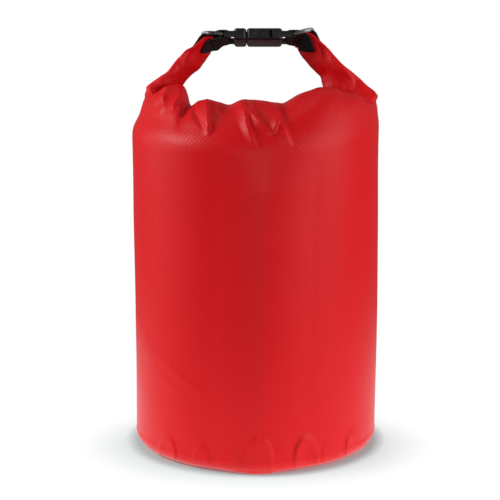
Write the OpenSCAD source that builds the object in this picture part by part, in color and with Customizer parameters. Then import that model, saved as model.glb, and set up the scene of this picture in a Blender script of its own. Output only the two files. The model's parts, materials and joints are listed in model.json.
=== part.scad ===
// Roll-top dry bag, closed: a coated-fabric tube with a round base, its mouth
// rolled over a stiffener, and the two ends of the roll clipped together with a
// side-release buckle, so that they make the carrying handle.
// +Z is up, -Y is the front, the origin is the middle of the base on the floor.

/* [Bag] */
// Radius of the filled bag
bag_r = 100; // [85:1:125]
// Height of the straight wall, from the floor to the shoulder
body_h = 235; // [160:5:360]
// Thickness of the coated fabric
fabric_t = 1; // [0.6:0.1:1.4]
// Radius of the rounded edge between the floor face and the wall
base_edge_r = 11.6; // [8:0.2:16]
// Height of the base's upstand inside the wall
base_lip_h = 8; // [5:1:14]
// Width of the sealing tape over the back seam
seam_tape_w = 20; // [10:1:30]
// Thickness of the sealing tapes
seam_tape_t = 0.5; // [0.3:0.1:0.7]

/* [Shoulder] */
// Rise of the puffed front and back ridges above the straight wall
ridge_rise = 50; // [36:1:60]
// Further rise of the ridges towards the right corner
ridge_lift = 9; // [0:1:10]
// How much lower the back ridge stands than the front one
ridge_back_drop = 14; // [0:1:15]
// Distance of each ridge from the middle of the bag
ridge_y = 42; // [38:1:55]
// Depth of the valley that the roll lies in, below the ridges
valley_drop = 22; // [18:1:26]

/* [Roll] */
// Width of the flattened roll
roll_w = 30; // [26:1:34]
// Thickness of the flattened roll
roll_t = 9; // [7:0.5:10]
// Width of the stiffener strip inside the roll
stiffener_w = 18; // [12:1:20]
// Thickness of the stiffener strip
stiffener_t = 1; // [0.6:0.1:1.4]

/* [Handle] */
// Height of the buckle above the corners where the roll turns up
handle_h = 48; // [44:1:70]
// Backward lean of the handle, in degrees
handle_lean = 16; // [0:1:20]
// Radius of the rolled corner where each arm turns up
corner_r = 9.5; // [8:0.5:10]
// Distance of the left corner from the left side of the bag
left_inset = 18; // [15:1:24]
// Distance of the right corner from the right side of the bag
right_inset = 12; // [10:1:24]
// Thickness of the sewn tongue at the end of each arm
tongue_t = 4.6; // [3.6:0.2:5.6]
// Length of the sewn tongue
tongue_l = 12; // [9:1:15]

/* [Webbing and rings] */
// Width of the webbing
web_w = 25; // [20:1:25]
// Thickness of the webbing
web_t = 1.5; // [1:0.1:1.8]
// Wire radius of the D-rings
ring_wire_r = 1.7; // [1.4:0.1:2]
// Length of the straight sides of each D-ring, before its rounded end
ring_leg = 4.6; // [4:0.2:8]
// Radius of the two outer corners of each D-ring
ring_corner_r = 10; // [6:0.5:11]
// Angle of the left D-ring above its tab, in degrees
left_ring_angle = 7; // [5:1:20]
// Angle of the right D-ring above its tab, in degrees
right_ring_angle = 20; // [4:1:24]

/* [Buckle] */
// Width of the buckle
buckle_w = 32; // [31:0.5:36]
// Thickness of the buckle
buckle_t = 9.5; // [8.5:0.5:12]
// Length of the plug's body between its web slot and the mating face
plug_body_l = 10; // [9:0.2:16]
// Length of the socket's housing
socket_body_l = 28.5; // [27.5:0.5:36]
// Length of each web slot in the buckle
slot_l = 4.2; // [4:0.2:6]
// Radius of the web bars at both ends of the buckle
bar_r = 1.9; // [1.6:0.1:2.2]
// Wall thickness of the socket's sides
socket_wall = 2.8; // [2.2:0.1:3.2]
// Reach of the prongs and the tongue into the socket
prong_reach = 21.5; // [21:0.5:23]
// Distance of each release window from the mating face
window_from = 9.6; // [8.4:0.2:10]
// Length of each release window
window_l = 10.6; // [9:0.2:11]

/* [Hidden] */

// Clearances: between soft pieces, between hard pieces, and in the prong's knuckle
soft_gap = 0.3;
hard_gap = 0.3;
knuckle_gap = 0.1;

// Colours
fabric_red = [0.80, 0.06, 0.08];
tape_red = [0.62, 0.05, 0.07];
webbing_black = [0.05, 0.05, 0.05];
plastic_black = [0.03, 0.03, 0.035];
strip_white = [0.85, 0.85, 0.82];

// Heights of the shoulder: the corner axis that the handle tilts about is as
// high as the top of the shoulder, and the roll lies just under the corners.
axis_z = body_h + ridge_rise + 2;
roll_top_z = axis_z - corner_r - soft_gap;
valley_z = body_h + ridge_rise - valley_drop;
valley_end_z = roll_top_z - roll_t - soft_gap;

// Corner axes and the fabric's top edge in x
left_corner_x = -(bag_r - left_inset);
right_corner_x = bag_r - right_inset;
wall_end_inset = 5;

// Rings of points on the fabric surfaces
wall_sides = 64;
wall_steps = 16;
arm_sides = 28;

// ---- Vectors and lofts -------------------------------------------------

function mix(a, b, s) = a + (b - a) * s;
function smooth(s) = let (c = min(1, max(0, s))) c * c * (3 - 2 * c);

// A rounded ring around centre c, a along the unit vector u and b along v
function ring_points(c, u, v, a, b, sides, power = 2.4) =
    [for (i = [0:sides - 1])
        let (t = 360 * i / sides, x = cos(t), y = sin(t))
        c + u * a * sign(x) * pow(abs(x), 2 / power)
          + v * b * sign(y) * pow(abs(y), 2 / power)];

function ring_mean(points) =
    [for (k = [0:2]) let (v = [for (p = points) p[k]]) (v * [for (p = points) 1]) / len(points)];

// Triangles between the rings from first to last, each with the same count of points
function side_faces(first, last, n) =
    [for (r = [first:last - 1], i = [0:n - 1])
        let (a = r * n + i, b = r * n + (i + 1) % n) each [[a, a + n, b], [b, a + n, b + n]]];

// A solid through rings of points, closed at both ends
module loft(rings) {
    n = len(rings[0]);
    last = len(rings) - 1;
    points = concat([for (r = rings) each r], [ring_mean(rings[0]), ring_mean(rings[last])]);
    hub = (last + 1) * n;
    polyhedron(points, concat(
        side_faces(0, last, n),
        [for (i = [0:n - 1]) [hub, i, (i + 1) % n]],
        [for (i = [0:n - 1]) [hub + 1, last * n + (i + 1) % n, last * n + i]]));
}

// The same with its two ends joined, for rings that go up the outside and down the inside
module loft_closed_round(rings) {
    n = len(rings[0]);
    count = len(rings);
    points = [for (r = rings) each r];
    polyhedron(points, [for (r = [0:count - 1], i = [0:n - 1])
        let (s = (r + 1) % count, j = (i + 1) % n)
        each [[r * n + i, s * n + i, r * n + j], [r * n + j, s * n + i, s * n + j]]]);
}

// ---- Bag ---------------------------------------------------------------

// Height of the valley floor, which rises a little towards the corners
function valley_height(x) = mix(valley_z, valley_end_z, smooth((abs(x) - 0.4 * bag_r) / (0.36 * bag_r)));
// Height of the puffed ridges, higher to the right, lower behind, and sinking into the corners
function ridge_height(x, t) =
    let (puff = body_h + ridge_rise + 1.6 * cos(360 * x / (0.45 * bag_r))
              + ridge_lift * smooth((x - 0.1 * bag_r) / (0.45 * bag_r))
              - ridge_back_drop * smooth(sin(t) / 0.6),
         fade = smooth((bag_r - wall_end_inset - abs(x)) / (0.42 * bag_r)))
    mix(valley_height(x) - soft_gap, puff, fade);

// A point of the wall's surface in the shoulder, from the straight wall (v 0)
// over the ridge (v 0.58) to the middle of the valley (v 1)
function shoulder_point(t, v, inset) =
    let (r = bag_r - inset,
         reach = mix(r, bag_r - wall_end_inset - inset, smooth(v)),
         x = cos(t) * reach,
         crest = 0.58,
         floor_share = 0.6,
         ry = (ridge_y - inset) * sin(t),
         up = v < crest,
         a = 90 * v / crest,
         s = (v - crest) / (1 - crest),
         y = up ? ry + (r * sin(t) - ry) * cos(a) : ry * (1 - s) + inset_slit(t, s),
         drop = (1 + cos(180 * min(1, s / floor_share))) / 2,
         top = ridge_height(x, t) - inset,
         low = valley_height(x) - inset,
         z = up ? body_h + (top - body_h) * sin(a) : low + (top - low) * drop)
    [x, y, z];
// The front and back layers meet in a slit, this far apart
slit = 0.8;
function inset_slit(t, s) = slit / 2 * s * sin(t);

function wall_ring(z, inset) =
    [for (i = [0:wall_sides - 1]) let (t = 360 * i / wall_sides)
        [(bag_r - inset) * cos(t), (bag_r - inset) * sin(t), z]];
function shoulder_ring(v, inset) =
    [for (i = [0:wall_sides - 1]) shoulder_point(360 * i / wall_sides, v, inset)];

// The tube of fabric, open at the bottom and closed to a slit under the roll
module bag_wall() {
    straight = [for (s = [0, 0.25, 0.5, 0.75]) mix(base_edge_r, body_h, s)];
    outer = concat([for (z = straight) wall_ring(z, 0)],
                   [for (k = [0:wall_steps]) shoulder_ring(k / wall_steps, 0)]);
    inner = concat([for (k = [0:wall_steps]) shoulder_ring(1 - k / wall_steps, fabric_t)],
                   [for (k = [0:3]) wall_ring(straight[3 - k], fabric_t)]);
    n = wall_sides;
    rings = concat(outer, inner);
    points = [for (r = rings) each r];
    top = (len(outer) - 1) * n;
    under = top + n;
    last = len(rings) - 1;
    color(fabric_red) polyhedron(points, concat(
        side_faces(0, len(outer) - 1, n),
        side_faces(len(outer), last, n),
        slit_faces(top, n),
        [for (f = slit_faces(under, n)) [f[2], f[1], f[0]]],
        [for (i = [0:n - 1]) let (j = (i + 1) % n, a = last * n) each [[a + i, i, a + j], [a + j, i, j]]]));
}

// Triangles across the slit between the front and the back half of a ring
function slit_faces(first, n) = concat(
    [[first, first + n - 1, first + 1]],
    [for (i = [1:n / 2 - 2]) each [[first + i, first + n - i, first + i + 1],
                                   [first + i + 1, first + n - i, first + n - i - 1]]],
    [[first + n / 2 - 1, first + n / 2 + 1, first + n / 2]]);

// The round base: a flat floor face, a rounded edge and an upstand inside the wall
lip_r = (bag_r - fabric_t) * cos(180 / wall_sides) - soft_gap;
module base_panel() {
    flat_r = lip_r - base_edge_r;
    color(fabric_red) rotate_extrude($fn = 96)
        union() {
            square([flat_r, fabric_t]);
            translate([flat_r, base_edge_r]) intersection() {
                difference() {
                    circle(r = base_edge_r, $fn = 64);
                    circle(r = base_edge_r - fabric_t, $fn = 64);
                }
                translate([0, -base_edge_r]) square(base_edge_r);
            }
            translate([lip_r - fabric_t, base_edge_r]) square([fabric_t, base_lip_h]);
        }
}

// The tape ring that seals the base's upstand to the wall, on the inside
module base_seam_tape() {
    tape_r = lip_r - fabric_t - hard_gap / 2;
    color(tape_red) rotate_extrude($fn = 96)
        translate([tape_r - seam_tape_t, base_edge_r]) square([seam_tape_t, base_lip_h]);
}

// The tape over the wall's seam, on the inside of the back
module back_seam_tape() {
    tape_r = (bag_r - fabric_t) * cos(180 / wall_sides) - hard_gap / 2;
    turn = seam_tape_w / tape_r * 180 / PI;
    color(tape_red) translate([0, 0, base_edge_r + base_lip_h + soft_gap])
        rotate(90 - turn / 2) rotate_extrude(angle = turn, $fn = 96)
            translate([tape_r - seam_tape_t, 0])
                square([seam_tape_t, body_h - base_edge_r - base_lip_h - 5]);
}

// ---- Roll along the top of the bag --------------------------------------

roll_left_x = left_corner_x - corner_r / 2;
roll_right_x = right_corner_x + corner_r / 2;
// The roll narrows where it turns into the corners
function roll_half_w(x) =
    let (end = x < 0 ? roll_left_x : roll_right_x)
    mix(roll_w / 2, corner_r * 0.8, smooth((abs(x / end) - 0.6) / 0.32));
function roll_ring(x, half_w, half_t) =
    ring_points([x, 0, valley_height(x) + soft_gap + roll_t / 2],
                [0, 1, 0], [0, 0, 1], half_w, half_t, arm_sides);
roll_steps = [for (k = [0:16]) mix(roll_left_x, roll_right_x, k / 16)];
stiffener_gap = 0.3;

module roll_centre() {
    color(fabric_red) loft_closed_round(concat(
        [for (x = roll_steps) roll_ring(x, roll_half_w(x), roll_t / 2)],
        [for (k = [0:16]) let (x = roll_steps[16 - k])
            roll_ring(x, stiffener_half_w(x) + stiffener_gap, stiffener_t / 2 + stiffener_gap)]));
}
// The strip narrows with the roll, and stays inside it
function stiffener_half_w(x) = min(stiffener_w / 2, roll_half_w(x) - 1.8);
module stiffener_centre() {
    color(strip_white) loft([for (x = roll_steps)
        roll_ring(x * 0.97, stiffener_half_w(x), stiffener_t / 2)]);
}

// ---- Handle frame --------------------------------------------------------

// The handle is drawn upright over its tilt axis and then leaned back
module handle_frame() {
    translate([0, 0, axis_z]) rotate([-handle_lean, 0, 0]) children();
}

// Thickness of the rails beside each web slot
frame_t = 2 * bar_r + 1;
// Positions along the buckle, from its mating face
mate_x = -7;
left_bar_x = mate_x - hard_gap - plug_body_l - slot_l - bar_r;
right_bar_x = mate_x + socket_body_l + slot_l + bar_r;
ring_step = frame_t / 2 + ring_wire_r + hard_gap;
left_ring_x = left_bar_x - ring_step;
right_ring_x = right_bar_x + ring_step;

// Each arm runs straight from its corner to the tip of its sewn tongue
tip_out = 5.4;
tip_down = 4.5;
function arm_side(side) = side == "left" ? -1 : 1;
function arm_base(side) = [side == "left" ? left_corner_x : right_corner_x, 0, 0];
function arm_tip(side) =
    [(side == "left" ? left_ring_x : right_ring_x) + arm_side(side) * tip_out, 0, handle_h - tip_down];
function arm_length(side) = norm(arm_tip(side) - arm_base(side));
function arm_axis(side) = (arm_tip(side) - arm_base(side)) / arm_length(side);
// The arm's outward normal in the plane of the handle
function arm_out(side) = let (d = arm_axis(side)) [arm_side(side) * d[2], 0, abs(d[0])];

// A ring across the arm, at a distance along it, half thickness a, half width b, rolled
// so that its front edge turns outwards
function arm_ring(side, along, a, b, roll) =
    let (out = arm_out(side), front = [0, -1, 0], s = arm_side(side))
    ring_points(arm_base(side) + arm_axis(side) * along,
                (out * cos(roll) + [0, 1, 0] * sin(roll)) * s,
                front * cos(roll) + out * sin(roll), a, b, arm_sides, 2.6);

// A ring around the corner's own axis, turned part of the way from x to the arm's direction
function corner_ring(side, out_x, up, turn, r) =
    let (s = arm_side(side), d = arm_axis(side), full = atan2(d[2], abs(d[0])), a = full * turn)
    ring_points(arm_base(side) + [s * out_x, 0, up],
                [s * sin(a), 0, cos(a)] * s, [0, -1, 0], r, r, arm_sides, 2);

// Rings of the rolled corner, from its outer end to the start of the straight arm
function corner_rings(side) = [
    corner_ring(side, corner_r * 0.62, 0, 0, corner_r * 0.45),
    corner_ring(side, corner_r * 0.54, 0, 0, corner_r * 0.78),
    corner_ring(side, corner_r * 0.36, 0, 0, corner_r * 0.94),
    corner_ring(side, corner_r * 0.05, 0, 0, corner_r),
    corner_ring(side, -corner_r * 0.35, corner_r * 0.07, 0.3, corner_r),
    corner_ring(side, -corner_r * 0.78, corner_r * 0.36, 0.65, corner_r * 0.99)];

// Shares of the arm's length, with half thickness, half width and roll angle
arm_roll = 32;
function arm_body_rings(side) = let (l = arm_length(side)) [
    arm_ring(side, 0.30 * l, roll_t * 0.90, roll_w * 0.42, arm_roll * 0.7),
    arm_ring(side, 0.42 * l, roll_t * 0.76, roll_w * 0.46, arm_roll * 0.9)];
function arm_upper_rings(side) = let (l = arm_length(side), neck = l - tongue_l) [
    arm_ring(side, 0.70 * neck, roll_t * 0.62, roll_w * 0.48, arm_roll),
    arm_ring(side, 0.88 * neck, roll_t * 0.48, roll_w * 0.48, arm_roll * 0.45),
    arm_ring(side, neck, tongue_t / 2, web_w / 2, 0)];
function arm_end_ring(side) = arm_ring(side, arm_length(side), tongue_t / 2, web_w / 2, 0);

// Rings of the stiffener, or of its pocket with some clearance
function strip_rings(side, from, gap) =
    let (l = arm_length(side), neck = l - tongue_l, a = stiffener_t / 2 + gap, b = stiffener_w / 2 + gap)
    [arm_ring(side, from, a, b, arm_roll),
     arm_ring(side, 0.88 * neck, a, b, arm_roll * 0.45),
     arm_ring(side, neck, a, b, 0)];

function reversed(list) = [for (i = [len(list) - 1:-1:0]) list[i]];

// A solid through rings that has a pocket open at its last ring
module pocketed_loft(outer, pocket) {
    loft(concat(outer, reversed(pocket)));
}

module left_roll_arm() {
    side = "left";
    pocket_from = 0.66 * (arm_length(side) - tongue_l);
    color(fabric_red) handle_frame() pocketed_loft(
        concat(corner_rings(side), arm_body_rings(side), arm_upper_rings(side), [arm_end_ring(side)]),
        concat(strip_rings(side, pocket_from, stiffener_gap),
               [arm_ring(side, arm_length(side), stiffener_t / 2 + stiffener_gap,
                         stiffener_w / 2 + stiffener_gap, 0)]));
}

// The right arm is in two lengths, which part along a level cut when the buckle is pulled open
cut_share = 0.52;
cut_gap = 0.4;
cut_h = cut_share * (handle_h - tip_down);
// A ring carried along the arm onto a level plane
function cut_ring(side, height) =
    let (l = arm_length(side), d = arm_axis(side))
    [for (p = arm_ring(side, cut_share * l, roll_t * 0.68, roll_w * 0.47, arm_roll))
        p + d * ((height - p[2]) / d[2])];

module right_roll_arm_lower() {
    side = "right";
    color(fabric_red) handle_frame() loft(concat(
        corner_rings(side),
        [arm_ring(side, 0.26 * arm_length(side), roll_t * 0.92, roll_w * 0.42, arm_roll * 0.7)],
        [cut_ring(side, cut_h - cut_gap / 2)]));
}

module right_roll_arm_upper() {
    side = "right";
    l = arm_length(side);
    pocket_from = l - tongue_l - 2;
    color(fabric_red) handle_frame() pocketed_loft(
        [cut_ring(side, cut_h + cut_gap / 2),
         arm_ring(side, 0.92 * (l - tongue_l), roll_t * 0.5, roll_w * 0.46, arm_roll * 0.4),
         arm_ring(side, l - tongue_l + 1.5, tongue_t / 2, web_w / 2, 0),
         arm_end_ring(side)],
        [arm_ring(side, l - tongue_l + 1.5,
                  stiffener_t / 2 + stiffener_gap, stiffener_w / 2 + stiffener_gap, 0),
         arm_ring(side, l, stiffener_t / 2 + stiffener_gap, stiffener_w / 2 + stiffener_gap, 0)]);
}

module stiffener_left() {
    side = "left";
    l = arm_length(side);
    from = 0.66 * (l - tongue_l);
    color(strip_white) handle_frame() loft(concat(
        strip_rings(side, from + stiffener_gap, 0),
        [arm_ring(side, l - stiffener_gap, stiffener_t / 2, stiffener_w / 2, 0)]));
}

module stiffener_right() {
    side = "right";
    l = arm_length(side);
    color(strip_white) handle_frame() loft([
        arm_ring(side, l - tongue_l + 1.5 + stiffener_gap, stiffener_t / 2, stiffener_w / 2, 0),
        arm_ring(side, l - stiffener_gap, stiffener_t / 2, stiffener_w / 2, 0)]);
}

// ---- Webbing tabs and D-rings --------------------------------------------

// The webbing's centre line: sewn on the arm's outer face, over the ring's and
// the buckle's bars, back under them and sewn on the arm's inner face
function tab_line(side) =
    let (s = arm_side(side), d = arm_axis(side), out = arm_out(side), tip = arm_tip(side),
         bar_x = side == "left" ? left_bar_x : right_bar_x,
         ring_x = side == "left" ? left_ring_x : right_ring_x,
         ply = tongue_t / 2 + soft_gap * 0.7 + web_t / 2,
         wrap = bar_r + hard_gap + web_t / 2,
         sewn = tongue_l - 2,
         crown = max(wrap, ring_wire_r + hard_gap + web_t / 2))
    concat([tip - d * sewn + out * ply, tip - d * 1.5 + out * ply,
            [ring_x + s * 1.2, 0, handle_h + crown], [bar_x, 0, handle_h + crown]],
           [for (a = [75:-15:-90]) [bar_x - s * wrap * cos(a), 0, handle_h + wrap * sin(a)]],
           [tip - d * 1 - out * ply, tip - d * sewn - out * ply]);

// A strip of even thickness along a line in the plane of the handle
module strip(line, thickness, width) {
    n = len(line);
    flat = [for (p = line) [p[0], p[2]]];
    turn = [for (i = [0:n - 1])
        let (a = flat[max(0, i - 1)], b = flat[i], c = flat[min(n - 1, i + 1)],
             u = b == a ? (c - b) / norm(c - b) : (b - a) / norm(b - a),
             w = b == c ? u : (c - b) / norm(c - b),
             m = (u + w) / norm(u + w))
        [-m[1], m[0]] / max(0.5, m * u)];
    half = thickness / 2;
    rotate([90, 0, 0]) linear_extrude(width, center = true)
        polygon(concat([for (i = [0:n - 1]) flat[i] + turn[i] * half],
                       [for (i = [n - 1:-1:0]) flat[i] - turn[i] * half]));
}

module webbing_tab(side) {
    color(webbing_black) handle_frame() strip(tab_line(side), web_t, web_w);
}
module left_webbing_tab() webbing_tab("left");
module right_webbing_tab() webbing_tab("right");

// Two dense bar tacks across each ply of the tab
tack_w = 2;
tack_t = 0.6;
module bar_tacks(side) {
    ply = tongue_t / 2 + soft_gap * 0.7 + web_t + tack_t / 2 + 0.05;
    d = arm_axis(side);
    color(webbing_black) handle_frame()
        for (face = [-1, 1], along = [3.5, tongue_l - 3.5])
            translate(arm_tip(side) - d * along + arm_out(side) * ply * face)
                rotate([0, -atan2(d[2], d[0]), 0])
                    cube([tack_w, web_w - 5, tack_t], center = true);
}
module left_bar_tacks() bar_tacks("left");
module right_bar_tacks() bar_tacks("right");

// A D-ring: a straight bar in the tab, two sides, and a rounded end outside it
ring_r = web_w / 2 + ring_wire_r + 0.6;
module d_ring(side) {
    s = arm_side(side);
    x = side == "left" ? left_ring_x : right_ring_x;
    lift = side == "left" ? left_ring_angle : right_ring_angle;
    half_end = ring_r - ring_corner_r;
    color(plastic_black) handle_frame() translate([x, 0, handle_h]) rotate([0, -s * lift, 0]) {
        rotate([90, 0, 0]) cylinder(r = ring_wire_r, h = 2 * ring_r, center = true, $fn = 32);
        translate([s * (ring_leg + ring_corner_r), 0, 0]) rotate([90, 0, 0])
            cylinder(r = ring_wire_r, h = 2 * half_end, center = true, $fn = 32);
        for (way = [-1, 1]) {
            translate([0, way * ring_r, 0]) {
                sphere(r = ring_wire_r, $fn = 32);
                rotate([0, s * 90, 0]) cylinder(r = ring_wire_r, h = ring_leg, $fn = 32);
            }
            translate([s * ring_leg, way * half_end, 0])
                rotate(s > 0 ? (way > 0 ? 0 : -90) : (way > 0 ? 90 : 180)) rotate_extrude(angle = 90, $fn = 64)
                    translate([ring_corner_r, 0]) circle(r = ring_wire_r, $fn = 32);
        }
    }
}
module left_d_ring() d_ring("left");
module right_d_ring() d_ring("right");

// ---- Buckle ---------------------------------------------------------------

slot_w = web_w + 1.4;
cavity_t = buckle_t - 3.7;
cavity_w = buckle_w - 2 * socket_wall;
body_corner_r = 3;
edge_cut = 1.2;
button_gap = 0.4;

// A block with rounded upright corners and chamfered rims, from x = 0 to length
module soft_block(length, width, thick) {
    hull() for (x = [body_corner_r, length - body_corner_r], y = [-1, 1])
        translate([x, y * (width / 2 - body_corner_r), 0]) {
            cylinder(r = body_corner_r, h = thick - 2 * edge_cut, center = true, $fn = 32);
            cylinder(r = body_corner_r - edge_cut, h = thick, center = true, $fn = 32);
        }
}

// The two side rails and the web bar at one end, out along s from x = 0
module web_frame(s) {
    rail_l = slot_l + bar_r;
    rail_w = (buckle_w - slot_w) / 2;
    for (y = [-1, 1])
        translate([s * (rail_l / 2 - 0.5), y * (slot_w + rail_w) / 2, 0])
            cube([rail_l + 1, rail_w, frame_t], center = true);
    translate([s * rail_l, 0, 0]) rotate([90, 0, 0])
        cylinder(r = bar_r, h = slot_w + 1, center = true, $fn = 32);
    for (y = [-1, 1])
        translate([s * rail_l, y * (slot_w + rail_w) / 2, 0]) rotate([90, 0, 0])
            cylinder(r = frame_t / 2, h = rail_w, center = true, $fn = 32);
}

module buckle_socket() {
    color(plastic_black) handle_frame() translate([mate_x, 0, handle_h]) {
        difference() {
            soft_block(socket_body_l, buckle_w, buckle_t);
            translate([-1, -cavity_w / 2, -cavity_t / 2]) cube([prong_reach + 3.5, cavity_w, cavity_t]);
            translate([window_from, -buckle_w, -cavity_t / 2]) cube([window_l, 2 * buckle_w, cavity_t]);
        }
        translate([socket_body_l, 0, 0]) web_frame(1);
    }
}

// Where each prong turns on the plug: just behind the mating face
root_back = 2.4;
root_y = 9.5;
root_r = 1.6;
prong_t = cavity_t - 0.6;
prong_arm_w = 2.4;
tongue_w = 6;
plug_face_x = mate_x - hard_gap;

module buckle_plug() {
    color(plastic_black) handle_frame() translate([plug_face_x, 0, handle_h]) {
        difference() {
            translate([-plug_body_l, 0, 0]) soft_block(plug_body_l, buckle_w, buckle_t);
            for (y = [-1, 1]) translate([-root_back, y * root_y, 0]) {
                cylinder(r = root_r + knuckle_gap, h = prong_t + 0.6, center = true, $fn = 32);
                translate([root_back / 2 + 0.5, -y * 0.6, 0])
                    cube([root_back + 1, prong_arm_w + 2.2, prong_t + 0.6], center = true);
            }
        }
        translate([-1, -tongue_w / 2, -prong_t / 2 + 0.3]) cube([prong_reach, tongue_w, prong_t - 0.6]);
        translate([-plug_body_l, 0, 0]) web_frame(-1);
    }
}

// A springy prong whose button fills the socket's side window
module release_prong(y) {
    reach = prong_reach + root_back;
    button_from = window_from - plug_face_x + mate_x + root_back + button_gap;
    button_l = window_l - 2 * button_gap;
    out_w = buckle_w / 2 - 0.2 - root_y;
    in_w = prong_arm_w / 2;
    color(plastic_black) handle_frame()
        translate([plug_face_x - root_back, y * root_y, handle_h]) mirrored(y < 0) {
            cylinder(r = root_r, h = prong_t, center = true, $fn = 32);
            translate([0, 0, -prong_t / 2]) linear_extrude(prong_t) polygon([
                [0, -in_w], [reach, -in_w + 1.2], [reach + 0.6, 0.8],
                [button_from + button_l, out_w * 0.5], [button_from + button_l * 0.85, out_w * 0.9],
                [button_from + button_l * 0.5, out_w], [button_from, out_w],
                [button_from, in_w + 0.6], [button_from - 1, in_w], [0, in_w]]);
        }
}
// Mirrors a piece across the buckle's middle
module mirrored(flip) {
    if (flip) mirror([0, 1, 0]) children();
    else children();
}
module front_release_prong() release_prong(-1);
module back_release_prong() release_prong(1);

bag_wall();
base_panel();
base_seam_tape();
back_seam_tape();
roll_centre();
stiffener_centre();
left_roll_arm();
stiffener_left();
right_roll_arm_lower();
right_roll_arm_upper();
stiffener_right();
left_webbing_tab();
right_webbing_tab();
left_bar_tacks();
right_bar_tacks();
left_d_ring();
right_d_ring();
buckle_socket();
buckle_plug();
front_release_prong();
back_release_prong();
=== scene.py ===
# %% [markdown]
# # A roll-top dry bag
#
# The bag is a tube of coated fabric with a round base. Its mouth is rolled over a stiff
# strip, and the two ends of the roll are clipped together with a side-release buckle, so
# that they make a carrying handle. The frame gives every part its real size and place,
# and the cells below make what the eye sees: puffed fabric, folds, weave, webbing,
# stitches and moulded plastic.

# %% Load the frame
import json
import math

import bmesh
import bpy
import numpy as np
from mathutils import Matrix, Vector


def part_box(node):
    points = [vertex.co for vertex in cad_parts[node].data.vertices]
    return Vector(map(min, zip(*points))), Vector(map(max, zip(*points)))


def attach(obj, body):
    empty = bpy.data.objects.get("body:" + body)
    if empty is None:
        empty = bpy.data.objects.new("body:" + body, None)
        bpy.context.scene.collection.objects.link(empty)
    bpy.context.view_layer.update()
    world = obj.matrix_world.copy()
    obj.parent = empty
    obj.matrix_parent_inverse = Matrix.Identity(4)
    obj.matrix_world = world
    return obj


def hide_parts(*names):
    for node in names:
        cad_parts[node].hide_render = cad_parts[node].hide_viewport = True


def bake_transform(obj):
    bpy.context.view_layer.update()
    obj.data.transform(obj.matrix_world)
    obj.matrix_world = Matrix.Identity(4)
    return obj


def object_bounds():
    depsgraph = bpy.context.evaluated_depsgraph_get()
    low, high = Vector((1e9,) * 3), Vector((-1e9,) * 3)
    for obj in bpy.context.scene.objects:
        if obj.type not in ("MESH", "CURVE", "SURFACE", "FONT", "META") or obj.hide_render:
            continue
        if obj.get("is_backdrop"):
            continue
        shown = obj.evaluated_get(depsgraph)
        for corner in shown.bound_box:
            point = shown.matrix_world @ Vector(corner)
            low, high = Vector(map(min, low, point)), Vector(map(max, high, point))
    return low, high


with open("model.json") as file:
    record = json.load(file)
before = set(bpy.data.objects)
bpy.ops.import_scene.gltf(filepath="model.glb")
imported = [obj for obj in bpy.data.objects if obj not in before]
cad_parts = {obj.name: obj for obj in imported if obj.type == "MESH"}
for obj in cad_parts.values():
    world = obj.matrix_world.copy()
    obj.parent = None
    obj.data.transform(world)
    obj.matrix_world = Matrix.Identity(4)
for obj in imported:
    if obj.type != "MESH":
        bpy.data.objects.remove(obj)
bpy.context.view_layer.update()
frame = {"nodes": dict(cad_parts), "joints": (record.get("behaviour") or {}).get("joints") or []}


def box_of_bounds():
    """The lowest and the highest corner of everything, as plain lists."""
    return [[float(c) for c in corner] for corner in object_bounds()]


# %% [markdown]
# ## Camera
#
# The photograph looks slightly down on the bag from a few steps away, so its sides are
# nearly parallel. A long lens at 1.43 m gives the same narrow view, and a small shift puts
# the bag a little right of the middle, as in the photograph.

# %% Camera
MM = 0.001
CAMERA_PITCH = math.radians(11.6)
CAMERA_DISTANCE = 1.43
TARGET_HEIGHT = 0.160
LENS, SENSOR, SHIFT = 125.0, 36.0, -0.011

camera_data = bpy.data.cameras.new("camera")
camera_data.lens, camera_data.sensor_width, camera_data.shift_x = LENS, SENSOR, SHIFT
camera = bpy.data.objects.new("camera", camera_data)
camera.location = (0, -CAMERA_DISTANCE * math.cos(CAMERA_PITCH),
                   TARGET_HEIGHT + CAMERA_DISTANCE * math.sin(CAMERA_PITCH))
camera.rotation_euler = (math.pi / 2 - CAMERA_PITCH, 0, 0)
bpy.context.scene.collection.objects.link(camera)
bpy.context.scene.camera = camera
print("camera at", [round(c, 3) for c in camera.location])

# %% [markdown]
# ## Shader arithmetic
#
# A pattern such as a weave is a formula, and a formula reads best as one. The class below
# wraps a shader socket, so that `a * b + 1` adds the Math nodes by itself. Colours never
# go through it, because a Math node turns a colour grey: they are mixed with Mix nodes.


# %% A value in a shader
class Value:
    """One number that varies over a surface; arithmetic on it adds Math nodes."""

    def __init__(self, finish, socket):
        self.finish, self.socket = finish, socket

    def _math(self, operation, *others, **settings):
        return self.finish.node("ShaderNodeMath", {"operation": operation, **settings}, self, *others)

    def __add__(self, other):
        return self._math("ADD", other)

    def __sub__(self, other):
        return self._math("SUBTRACT", other)

    def __rsub__(self, other):
        return self.finish.node("ShaderNodeMath", {"operation": "SUBTRACT"}, other, self)

    def __mul__(self, other):
        return self._math("MULTIPLY", other)

    def __truediv__(self, other):
        return self._math("DIVIDE", other)

    __radd__, __rmul__ = __add__, __mul__

    def wave(self, period):
        """A cosine of this length."""
        return (self * (2 * math.pi / period))._math("COSINE")

    def root(self):
        return self._math("SQRT")

    def size(self):
        """The value without its sign."""
        return self._math("ABSOLUTE")

    def clamped(self):
        """The value held between 0 and 1."""
        return self._math("ADD", 0.0, use_clamp=True)


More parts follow.
